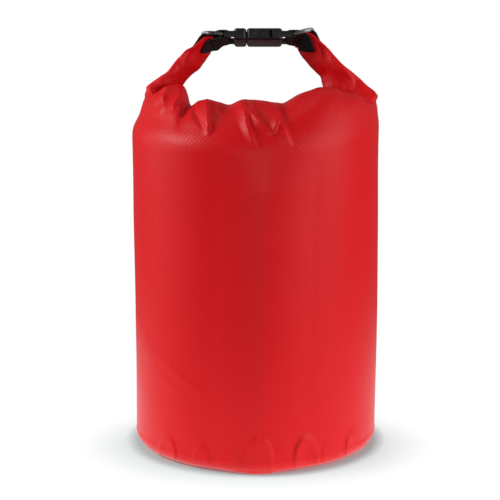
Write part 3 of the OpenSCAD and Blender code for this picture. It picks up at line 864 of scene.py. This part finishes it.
def wraps(angles, at):
    """The rolled layers: shallow grooves where one wrap ends on the next."""
    groove = np.zeros_like(angles)
    for middle, width, depth in at:
        gap = np.angle(np.exp(1j * (angles - middle)))
        groove -= depth * np.exp(-(gap / width) ** 2)
    return groove


ROLL_WRAPS = ((0.35, 0.07, 0.7), (2.2, 0.08, 0.5), (3.05, 0.06, 0.8), (5.5, 0.07, 0.6))


def roll_rings(sides=72, steps=110):
    """The roll along x, narrower towards its ends."""
    low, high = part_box("roll_centre")
    angles = np.linspace(0, 2 * np.pi, sides, endpoint=False)
    rings = []
    for x in np.linspace(low.x / MM, high.x / MM, steps):
        end = min(abs(x - low.x / MM), abs(high.x / MM - x))
        round_end = math.sqrt(max(0.0, 1 - (1 - min(1, end / 4)) ** 2))
        half = mix(15.0, 9.5, float(smooth((abs(x) - 50) / 30))) * (0.25 + 0.75 * round_end)
        thick = 4.5 * (0.3 + 0.7 * round_end)
        across, up = oval(angles, half, thick)
        layer = wraps(angles, ROLL_WRAPS)
        soft = 1 + layer / 10 + 0.02 * np.sin(x / 9 + 3 * angles)
        centre = float(valley_floor(x)) + 0.9 + thick + 0.3 * math.sin(x / 17)
        rings.append(np.stack([0 * angles + x, across * soft, centre + up * soft], -1))
    return capped(rings)


roll = loft("roll", roll_rings(), red_fabric)
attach(roll, "bag")
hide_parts("roll_centre")
print("roll:", len(roll.data.polygons), "faces")

# %% [markdown]
# ## The arms of the handle
#
# At each corner the roll turns up and becomes an arm of the handle. An arm is the same
# flat roll, twisted so that its front edge turns outwards: that is why it looks 17 to 25
# mm wide from the front, and narrow where the webbing is sewn on. The photograph gives
# its two outlines, so each section is set by a point on the outer and one on the inner
# outline, and the twist follows from how wide the section looks. The handle leans back,
# so the arms are drawn in its own leaning plane.

# %% The handle's plane
LEAN = math.radians(16)
AXIS_Z = frame["joints"][0]["pos_m"][2] / MM


def in_world(x, y, h):
    """A point given across, front to back and up in the handle's plane, in the world."""
    return np.stack([x, y * math.cos(LEAN) + h * math.sin(LEAN),
                     AXIS_Z - y * math.sin(LEAN) + h * math.cos(LEAN)], -1)


# Outer outline x and h, inner outline x and h, half the thickness, half the flat width
LEFT_ARM = [
    (-84.0, -8.0, -74.0, -15.0, 5.0, 10.0), (-88.0, -3.0, -77.0, -10.0, 6.0, 12.5),
    (-89.4, 2.0, -74.5, -6.5, 6.4, 14.0), (-87.8, 6.4, -70.5, -3.0, 6.0, 14.5),
    (-83.0, 10.6, -66.0, 1.5, 5.6, 14.5), (-77.2, 15.0, -61.0, 7.5, 5.2, 14.5),
    (-72.4, 18.4, -56.0, 14.6, 5.0, 14.5), (-67.8, 24.3, -51.2, 19.6, 4.8, 14.2),
    (-62.6, 30.0, -45.6, 24.0, 4.6, 14.0), (-57.0, 35.2, -41.8, 29.4, 4.2, 13.8),
    (-51.2, 38.6, -39.2, 33.4, 3.4, 13.6), (-46.0, 42.4, -37.3, 36.2, 2.5, 13.4),
    (-40.8, 46.4, -35.0, 40.2, 2.3, 13.2), (-35.0, 46.8, -31.4, 42.4, 2.3, 13.0),
]
RIGHT_ARM = [
    (92.0, -9.0, 82.0, -16.0, 5.0, 10.0), (97.2, -6.0, 83.0, -12.5, 6.0, 12.5),
    (98.6, -2.0, 79.0, -10.5, 6.8, 14.5), (97.2, 2.2, 71.0, -8.0, 6.8, 15.5),
    (93.0, 6.2, 62.5, -3.0, 6.4, 16.2), (87.0, 11.4, 56.2, 4.5, 6.0, 16.2),
    (80.8, 16.4, 54.0, 11.5, 5.8, 15.6), (73.0, 23.2, 52.4, 17.8, 5.4, 15.0),
    (67.8, 27.2, 48.4, 21.8, 5.2, 14.6), (63.8, 31.6, 43.8, 26.6, 5.0, 14.4),
    (59.4, 37.2, 40.4, 31.0, 4.4, 14.2), (54.0, 41.8, 37.4, 34.8, 3.4, 14.0),
    (48.8, 46.4, 35.2, 38.8, 2.5, 13.6), (44.6, 49.4, 33.9, 41.8, 2.3, 13.2),
    (41.0, 50.2, 33.2, 43.4, 2.3, 13.0),
]


class Arm:
    """Centre, twist and size of an arm at any share of its length."""

    def __init__(self, stations, side):
        table = np.array(stations, float)
        self.side = side
        centre = (table[:, 0:2] + table[:, 2:4]) / 2
        lengths = np.linalg.norm(np.diff(centre, axis=0), axis=1)
        self.share = np.concatenate([[0], np.cumsum(lengths)]) / lengths.sum()
        self.length = lengths.sum()
        out = table[:, 0:2] - table[:, 2:4]
        seen = np.linalg.norm(out, axis=1) / 2
        # the roll is fuller below the webbing, and its section is nearly an oval
        table[:, 4] *= 1 + 0.35 * smooth((0.80 - self.share) / 0.25)
        thick, wide, power = table[:, 4], table[:, 5], 1.91
        tries = np.linspace(0, 1.25, 400)[:, None]
        shown = ((wide * np.sin(tries)) ** power + (thick * np.cos(tries)) ** power) ** (1 / power)
        twist = tries[np.argmin(np.abs(shown - seen), 0), 0]
        self.columns = [centre[:, 0], centre[:, 1], np.arctan2(out[:, 1], out[:, 0]), twist,
                        table[:, 4], table[:, 5]]

    def at(self, share):
        """Centre x and h, direction of the outline, twist, half thickness and half width."""
        place = np.atleast_1d(share)
        return [through(place, list(zip(self.share, column))) for column in self.columns]

    def point(self, share, across, off):
        """A point across the flat of the arm (front is positive) and off its face."""
        x, h, way, twist, _, _ = self.at(share)
        over = across * np.sin(twist) + off * np.cos(twist)
        y = -across * np.cos(twist) + off * np.sin(twist)
        return x + np.cos(way) * over, y, h + np.sin(way) * over


left_side, right_side = Arm(LEFT_ARM, -1), Arm(RIGHT_ARM, 1)
print("arms:", round(left_side.length), "and", round(right_side.length), "mm long, twisted up to",
      [round(math.degrees(a.columns[3].max())) for a in (left_side, right_side)], "degrees")


# %% Arm surfaces
def arm_rings(arm, folds, sides=120, steps=150):
    """Rings along an arm, with wrap grooves along it and folds across it."""
    angles = np.linspace(0, 2 * np.pi, sides, endpoint=False)
    rings = []
    for share in np.linspace(0, 1, steps):
        *_, thick, width = (c[0] for c in arm.at(share))
        swell = 1 - 0.9 * (1 - math.sqrt(max(0.0, 1 - (1 - min(1, share / 0.05)) ** 2)))
        tip = 1 - 0.25 * (1 - math.sqrt(max(0.0, 1 - (1 - min(1, (1 - share) / 0.02)) ** 2)))
        across, off = oval(angles, width * swell, thick * swell * tip, 2.1)
        layer = wraps(angles, ((0.30 + 0.25 * share, 0.16, 0.7), (3.75 + 2.2 * share, 0.22, 1.7),
                               (2.9, 0.16, 0.8), (1.2 - share, 0.2, 1.0)))
        for at, lean, wide, angle, spread, depth in folds:
            gap = np.angle(np.exp(1j * (angles - angle)))
            along = (share - at - lean * gap) * arm.length
            layer = layer + depth * np.exp(-(along / wide) ** 2 - (gap / spread) ** 2)
        flat = smooth((share - 0.80) / 0.08)
        across = across * (1 + (1 - flat) * layer / 13)
        off = off + (1 - flat) * layer * np.sin(angles) * 0.9
        rings.append(in_world(*arm.point(share, across, off)))
    return capped(rings)


# Folds: share along the arm, slant, length in mm, angle round the arm, spread, height
LEFT_FOLDS = [
    (0.66, 0.20, 4, 5.4, 0.9, -1.2), (0.58, 0.20, 4, 5.6, 0.9, 0.9), (0.45, 0.16, 5, 5.0, 1.2, -1.0),
    (0.30, -0.08, 5, 5.5, 1.0, 1.0), (0.52, -0.05, 6, 1.2, 1.0, -0.6), (0.14, 0.10, 4, 5.0, 1.2, -1.8),
]
RIGHT_FOLDS = [
    (0.70, 0.26, 3.4, 5.2, 1.5, -1.1), (0.60, 0.26, 3.4, 5.4, 1.5, 0.8), (0.50, 0.26, 3.4, 5.2, 1.5, -1.0),
    (0.38, 0.24, 4, 5.4, 1.5, 0.8), (0.26, 0.20, 4, 5.0, 1.4, -1.4), (0.5, -0.06, 6, 1.3, 1.0, -0.6),
]

left_arm = loft("left_arm", arm_rings(left_side, LEFT_FOLDS), rolled_fabric)
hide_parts("left_roll_arm")
print("left arm:", len(left_arm.data.polygons), "faces")

# %% [markdown]
# ## The stiff strips
#
# A bendable plastic strip runs in the mouth of the bag, and keeps the roll flat. In the
# arms it can't be seen, but the handle wouldn't stand up without it, so a flat strip is
# lofted through the middle of each arm, by the arm's own places and twists.


# %% The stiff strips inside the arms
def strip_rings(arm, low, high, sides=32, steps=40):
    """A thin flat strip that follows the middle of an arm."""
    across, off = oval(np.linspace(0, 2 * np.pi, sides, endpoint=False), 9.0, 0.5, 6)
    shares = np.linspace(low, high, steps)
    return capped([in_world(*arm.point(share, across, off)) for share in shares])


for side, arm, body in (("left", left_side, "handle"), ("right", right_side, "socket_side")):
    strip = loft(f"{side}_strip", strip_rings(arm, 0.72, 0.97), strip_plastic)
    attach(strip, body)
    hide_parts(f"stiffener_{side}")
    print(side, "strip:", len(strip.data.polygons), "faces")

# %% [markdown]
# ## Cutting the right arm
#
# In the frame the right arm is in two lengths, so that the buckle can be pulled open. The
# cloth is made in one, then cut along the same level plane, and each half is closed with
# a face.


# %% Cutting
def cut_above(piece, name, height, keep_top):
    """A copy of a piece, cut along a plane across the handle at this height, and closed."""
    mesh = piece.data.copy()
    mesh.name = name
    work = bmesh.new()
    work.from_mesh(mesh)
    at = in_world(0.0, 0.0, height) * MM
    up = in_world(0.0, 0.0, 1.0) - in_world(0.0, 0.0, 0.0)
    everything = [*work.verts, *work.edges, *work.faces]
    cut = bmesh.ops.bisect_plane(work, geom=everything, dist=1e-7, plane_co=at, plane_no=up,
                                 clear_inner=keep_top, clear_outer=not keep_top)
    rim = [e for e in cut["geom_cut"] if isinstance(e, bmesh.types.BMEdge)]
    lids = bmesh.ops.holes_fill(work, edges=rim, sides=0)["faces"]
    bmesh.ops.triangulate(work, faces=lids)
    for edge in rim:
        edge.smooth = False
    bmesh.ops.recalc_face_normals(work, faces=work.faces)
    work.to_mesh(mesh)
    work.free()
    half = bpy.data.objects.new(name, mesh)
    bpy.context.scene.collection.objects.link(half)
    return half


whole_right_arm = loft("right_arm_whole", arm_rings(right_side, RIGHT_FOLDS), rolled_fabric)
upper_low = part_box("right_roll_arm_upper")[0]
CUT_H = (upper_low.z / MM - AXIS_Z) / math.cos(LEAN) + 4.0
right_arm_lower = cut_above(whole_right_arm, "right_arm_lower", CUT_H, keep_top=False)
right_arm_upper = cut_above(whole_right_arm, "right_arm_upper", CUT_H, keep_top=True)
bpy.data.objects.remove(whole_right_arm)
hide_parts("right_roll_arm_lower")
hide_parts("right_roll_arm_upper")
print("right arm cut", round(CUT_H, 1), "mm above the corner")

# %% [markdown]
# ## The arms' places
#
# The handle leans on the soft corners of the roll, and the right arm parts when the
# buckle is pulled open. A piece that rode on one body alone would tear away from the
# other. The cell below gives the stretch where an arm would bend across its joint and
# bakes each arm's place into its points, but no arm is blended across its joint.

# %% The arms' places
BEND_FROM, BEND_TO = in_world(0.0, 0.0, -8.0) * MM, in_world(0.0, 0.0, 14.0) * MM
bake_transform(left_arm)
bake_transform(right_arm_lower)
tuple(in_world(0.0, 0.0, CUT_H) * MM)
tuple(in_world(0.0, 0.0, CUT_H + 15) * MM)
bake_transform(right_arm_upper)
print("arms bend between", round(BEND_FROM[2], 3), "and", round(BEND_TO[2], 3), "m")

# %% [markdown]
# ## Webbing tabs
#
# A strip of webbing is sewn on the outside of each arm's end, runs over the ring's bar
# and the buckle's bar, and comes back to be sewn on the inside. It lies flat on the bars
# and twists with the arm where it is sewn on, which gives it the three-cornered look it
# has from the front. It is a loft with a rounded rectangle for a section.

# %% Places of the bars
SIDES = {"left": (left_side, "buckle_plug"), "right": (right_side, "buckle_socket")}
PLUG_LOW, PLUG_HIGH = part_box("buckle_plug")
HANDLE_H = ((PLUG_HIGH.z + PLUG_LOW.z) / 2 / MM - AXIS_Z) / math.cos(LEAN)
TAB_LOW, TAB_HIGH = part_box("left_webbing_tab")
WEB_HALF = (TAB_HIGH.y - TAB_LOW.y) / 2 / MM
WEB_THICK, BAR_R = 1.5, 1.9
SEWN_LENGTH, SEWN_GAP = 17.0, 0.25


def bar_places(side):
    """x of the buckle's bar and of the ring's straight bar, from the frame's own boxes."""
    low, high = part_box(SIDES[side][1])
    bar_x = low.x / MM + BAR_R + 0.5 if side == "left" else high.x / MM - BAR_R - 0.5
    joint = next(j for j in frame["joints"] if j["name"] == f"{side}_ring_swing")
    return bar_x, joint["pos_m"][0] / MM


print("buckle is", round(HANDLE_H, 1), "mm above the corners, bars at",
      [round(v, 1) for side in SIDES for v in bar_places(side)])


# %% The webbing's path
def tab_path(side):
    """Centre, outward direction and twist along the strip, from the outer to the inner end."""
    arm = SIDES[side][0]
    bar_x, ring_x = bar_places(side)
    wrap = BAR_R + 0.3 + WEB_THICK / 2
    sewn = SEWN_LENGTH / arm.length
    path = []

    def sewn_point(share, face):
        x, h, way, twist, thick, _ = (c[0] for c in arm.at(share))
        off = (thick + SEWN_GAP + WEB_THICK / 2) * face
        px, py, ph = arm.point(share, 0.0, off)
        path.append((px[0], py[0], ph[0], way, twist))

    for share in np.linspace(1 - sewn, 0.985, 7):
        sewn_point(share, 1)
    outward = math.pi / 2
    top = HANDLE_H + wrap
    for x, h in ((ring_x + arm.side * 1.6, top), (mix(ring_x, bar_x, 0.5), top + 0.1), (bar_x, top)):
        path.append((x, 0.0, h, outward, 0.0))
    for turn in range(70, -91, -20):
        a = math.radians(turn)
        x = bar_x - arm.side * wrap * math.cos(a)
        path.append((x, 0.0, HANDLE_H + wrap * math.sin(a), outward, 0.0))
    path.append((mix(ring_x, bar_x, 0.4), 0.0, HANDLE_H - wrap - 0.4, outward, 0.0))
    for share in np.linspace(0.985, 1 - sewn, 7):
        sewn_point(share, -1)
    return np.array(path)


def resampled(path, step):
    """The same path in even steps, rounded at its corners."""
    gaps = np.linalg.norm(np.diff(path[:, :3], axis=0), axis=1)
    at = np.concatenate([[0], np.cumsum(gaps)])
    even = np.linspace(0, at[-1], int(at[-1] / step))
    found = np.stack([np.interp(even, at, column) for column in path.T], 1)
    for _ in range(6):
        found[1:-1] = (found[:-2] + 2 * found[1:-1] + found[2:]) / 4
    return found


TAB_STEP = 0.5
tab_paths = {side: resampled(tab_path(side), TAB_STEP) for side in SIDES}
print("webbing runs about", [round(len(path) * TAB_STEP) for path in tab_paths.values()], "mm each")


# %% The webbing's shape
def slanted(from_end):
    """Half widths in front and behind, this far from a folded end."""
    front = np.clip(5.5 + 0.6 * from_end, 3, WEB_HALF)
    return front, np.clip(-2.5 + 1.05 * from_end, -2.5, WEB_HALF)


def tab_rings(path):
    """Rounded rectangles along the path, turned with its twist."""
    along = np.gradient(path[:, :3], axis=0)
    along /= np.linalg.norm(along, axis=1, keepdims=True)
    out = np.stack([np.cos(path[:, 3]), 0 * path[:, 3], np.sin(path[:, 3])], 1)
    twist = path[:, 4:5]
    width_way = np.array([[0, -1, 0]]) * np.cos(twist) + out * np.sin(twist)
    width_way -= along * (width_way * along).sum(1, keepdims=True)
    width_way /= np.linalg.norm(width_way, axis=1, keepdims=True)
    thick_way = np.cross(along, width_way)
    angles = np.linspace(0, 2 * np.pi, 64, endpoint=False)
    across, off = oval(angles, WEB_HALF, WEB_THICK / 2, 9)
    rings = []
    for k, (p, w, t) in enumerate(zip(path[:, :3], width_way, thick_way)):
        # the sewn ends are folded to a slant, so that they narrow towards the arm
        front, back = slanted(min(k, len(path) - 1 - k) * TAB_STEP)
        slant = mix(-back, front, (across / WEB_HALF + 1) / 2)
        rings.append(in_world(*(p[None] + slant[:, None] * w[None] + off[:, None] * t[None]).T))
    return capped(rings)


tabs = {}
for side in SIDES:
    tabs[side] = loft(f"{side}_tab", tab_rings(tab_paths[side]), webbing)
    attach(tabs[side], "handle" if side == "left" else "socket_side")
    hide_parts(f"{side}_webbing_tab")
print("tabs:", [len(t.data.polygons) for t in tabs.values()], "faces")

# %% [markdown]
# ## Stitches
#
# Two bar tacks hold each ply: dense zigzag stitches across the webbing. One stitch is a
# tiny bent rod, and a tack is a row of them, so this is work for Geometry Nodes: a line
# of points between two ends, a stitch on each point turned left and right by turns, then
# Realize Instances and Set Material. The result is turned into a plain mesh.


# %% One stitch
def stitch_mesh(length=2.4, radius=0.22, sides=6, steps=5):
    """A short rod that bows up in the middle."""
    rings = []
    angles = np.linspace(0, 2 * np.pi, sides, endpoint=False)
    for s in np.linspace(-1, 1, steps):
        r = radius * math.sqrt(max(0.02, 1 - (abs(s) ** 3)))
        rings.append(np.stack([0 * angles + s * length / 2, r * np.cos(angles),
                               r * np.sin(angles) + radius * 0.8 * (1 - s * s)], -1))
    return loft("stitch_pattern", capped(rings), thread)


stitch = stitch_mesh()
stitch.hide_render = True
print("one stitch has", len(stitch.data.polygons), "faces")


# %% A tack with Geometry Nodes
def tack_tree():
    """A line of points, a stitch on each, turned left and right by turns, made into a mesh."""
    tree = bpy.data.node_groups.new("bar_tack", "GeometryNodeTree")
    sockets = {}
    for name, kind in (("Start", "Vector"), ("End", "Vector"), ("Off", "Vector"), ("Count", "Int"),
                       ("Swing", "Float"), ("Stitch", "Object"), ("Material", "Material")):
        made = tree.interface.new_socket(name, in_out="INPUT", socket_type=f"NodeSocket{kind}")
        sockets[name] = made.identifier
    tree.interface.new_socket("Geometry", in_out="OUTPUT", socket_type="NodeSocketGeometry")
    given = tree.nodes.new("NodeGroupInput").outputs

    def node(kind, settings, *values, out=0, **named):
        """Adds a node: first its settings, then its inputs by place or by name."""
        made = tree.nodes.new(kind)
        for key, setting in settings.items():
            setattr(made, key, setting)
        named = {key.replace("_", " "): value for key, value in named.items()}
        for place, value in [*enumerate(values), *named.items()]:
            if isinstance(value, bpy.types.NodeSocket):
                tree.links.new(value, made.inputs[place])
            else:
                made.inputs[place].default_value = value
        return made.outputs[out]

    line = node("GeometryNodeMeshLine", {"mode": "END_POINTS"}, Count=given["Count"],
                Start_Location=given["Start"], Offset=given["End"])
    odd = node("ShaderNodeMath", {"operation": "MODULO"}, node("GeometryNodeInputIndex", {}), 2)
    double = node("ShaderNodeMath", {"operation": "MULTIPLY"}, given["Swing"], 2)
    minus = node("ShaderNodeMath", {"operation": "MULTIPLY"}, given["Swing"], -1)
    swing = node("ShaderNodeMath", {"operation": "MULTIPLY_ADD"}, odd, double, minus)
    across = node("ShaderNodeVectorMath", {"operation": "SUBTRACT"}, given["End"], given["Start"])
    upright = node("FunctionNodeAlignRotationToVector", {"axis": "Z"}, Vector=given["Off"])
    aligned = node("FunctionNodeAlignRotationToVector", {"axis": "Y", "pivot_axis": "Z"},
                   Rotation=upright, Vector=across)
    turned = node("FunctionNodeAxisAngleToRotation", {}, Axis=(0, 0, 1), Angle=swing)
    rotated = node("FunctionNodeRotateRotation", {"rotation_space": "LOCAL"}, aligned, turned)
    shape = node("GeometryNodeObjectInfo", {}, out="Geometry", Object=given["Stitch"])
    placed = node("GeometryNodeInstanceOnPoints", {}, Points=line, Instance=shape, Rotation=rotated)
    real = node("GeometryNodeRealizeInstances", {}, Geometry=placed)
    last = node("GeometryNodeSetMaterial", {}, Geometry=real, Material=given["Material"])
    tree.links.new(last, tree.nodes.new("NodeGroupOutput").inputs[0])
    return tree, sockets


TACK_TREE, TACK_SOCKETS = tack_tree()
print("the tack's tree has", len(TACK_TREE.nodes), "nodes")

# %% Sewing the tabs
TACK_BACK = (2.4, 6.0)
EDGE_MARGIN = 3.8


def plain_mesh(piece):
    """What an object's modifiers make of it, as a mesh of its own."""
    graph = bpy.context.evaluated_depsgraph_get()
    return bpy.data.meshes.new_from_object(piece.evaluated_get(graph))


def tack(start, end, off, count=20, swing=0.35):
    """The plain mesh of one bar tack between two points, in metres."""
    carrier = bpy.data.objects.new("tack", bpy.data.meshes.new("tack"))
    bpy.context.scene.collection.objects.link(carrier)
    modifier = carrier.modifiers.new("tack", "NODES")
    modifier.node_group = TACK_TREE
    for name, value in (("Start", start), ("End", end), ("Off", off)):
        modifier[TACK_SOCKETS[name]] = [float(c) for c in value]
    modifier[TACK_SOCKETS["Count"]] = count
    modifier[TACK_SOCKETS["Swing"]] = swing
    modifier[TACK_SOCKETS["Stitch"]] = stitch
    modifier[TACK_SOCKETS["Material"]] = thread
    made = plain_mesh(carrier)
    bpy.data.objects.remove(carrier)
    return made


def joined(name, meshes, material):
    """One piece from several meshes."""
    work = bmesh.new()
    for mesh in meshes:
        work.from_mesh(mesh)
        bpy.data.meshes.remove(mesh)
    mesh = bpy.data.meshes.new(name)
    work.to_mesh(mesh)
    work.free()
    return finished(name, mesh, material, weld=0.0001)


def side_stitches(side):
    """Two tacks on each face of an arm's end, across the webbing."""
    arm = SIDES[side][0]

    def place(share, across, off):
        return in_world(*(c[0] for c in arm.point(share, across, off))) * MM

    made = []
    for face in (1, -1):
        for back in TACK_BACK:
            share = 1 - back / arm.length
            front_reach, back_reach = [w - EDGE_MARGIN for w in slanted(SEWN_LENGTH - back)]
            off = (arm.at(share)[4][0] + SEWN_GAP + WEB_THICK + 0.02) * face
            away = place(share, 0.0, off + face) - place(share, 0.0, off)
            made.append(tack(place(share, -back_reach, off), place(share, front_reach, off), away, 26))
    return joined(f"{side}_stitches", made, thread)


for side in SIDES:
    stitches = side_stitches(side)
    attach(stitches, "handle" if side == "left" else "socket_side")
    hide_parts(f"{side}_bar_tacks")
    print(side, "stitches:", len(stitches.data.polygons), "faces")
bpy.data.objects.remove(stitch)

# %% [markdown]
# ## The buckle
#
# The buckle's two halves are moulded, so none of their edges is sharp. Each is a merged
# copy of the frame's own solid with a small bevel on every edge, which catches the
# light as a moulded edge does. The rings, the prongs and the hidden strips keep the
# frame's shapes.


# %% Bevelled plastic
def moulded_copy(node, name, width_mm):
    """The frame's solid with rounded edges, this wide."""
    mesh = frame["nodes"][node].data.copy()
    mesh.name = name
    work = bmesh.new()
    work.from_mesh(mesh)
    bmesh.ops.remove_doubles(work, verts=work.verts, dist=1e-6)
    bmesh.ops.dissolve_limit(work, angle_limit=math.radians(4), verts=work.verts, edges=work.edges)
    work.to_mesh(mesh)
    work.free()
    mesh.materials.clear()
    mesh.materials.append(buckle_plastic)
    piece = bpy.data.objects.new(name, mesh)
    bpy.context.scene.collection.objects.link(piece)
    bevel = piece.modifiers.new("edges", "BEVEL")
    bevel.width, bevel.segments, bevel.limit_method = width_mm * MM, 3, "ANGLE"
    bevel.angle_limit, bevel.use_clamp_overlap = math.radians(28), True
    made = plain_mesh(piece)
    piece.modifiers.clear()
    piece.data = made
    made.polygons.foreach_set("use_smooth", np.ones(len(made.polygons), bool))
    made.set_sharp_from_angle(angle=math.radians(40))
    return piece


for node, name, body in (("buckle_socket", "socket_half", "socket_side"),
                         ("buckle_plug", "plug_half", "handle")):
    piece = moulded_copy(node, name, 0.22)
    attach(piece, body)
    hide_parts(node)
    print(name, len(piece.data.polygons), "faces")

# %% [markdown]
# ## Parts that keep the frame's shape
#
# The rings and the prongs are small, smooth mouldings, and the strip and the tapes are
# hidden, so the frame's own solids are good enough for them. They only get a finish.


# %% Finishes of the parts that keep the frame's shape
def repaint(node, material):
    """Gives a frame part a finish in its own material slots."""
    part = frame["nodes"][node]
    for place in part.material_slots:
        place.material = material
    if not part.material_slots:
        part.data.materials.append(material)


for node in ("left_d_ring", "right_d_ring"):
    repaint(node, ring_plastic)
for node in ("front_release_prong", "back_release_prong"):
    repaint(node, buckle_plastic)
repaint("stiffener_centre", strip_plastic)
for node in ("base_seam_tape", "back_seam_tape"):
    repaint(node, tape_film)
print("repainted the rings, the prongs, the middle strip and the tapes")

# %% [markdown]
# ## Sizes
#
# The dressed bag may stand a little outside its frame, but not much. The size of the box
# round everything that renders, floor aside, is printed below.

# %% Sizes
print("visual:", [round(b - a, 4) for a, b in zip(*box_of_bounds())], "m")
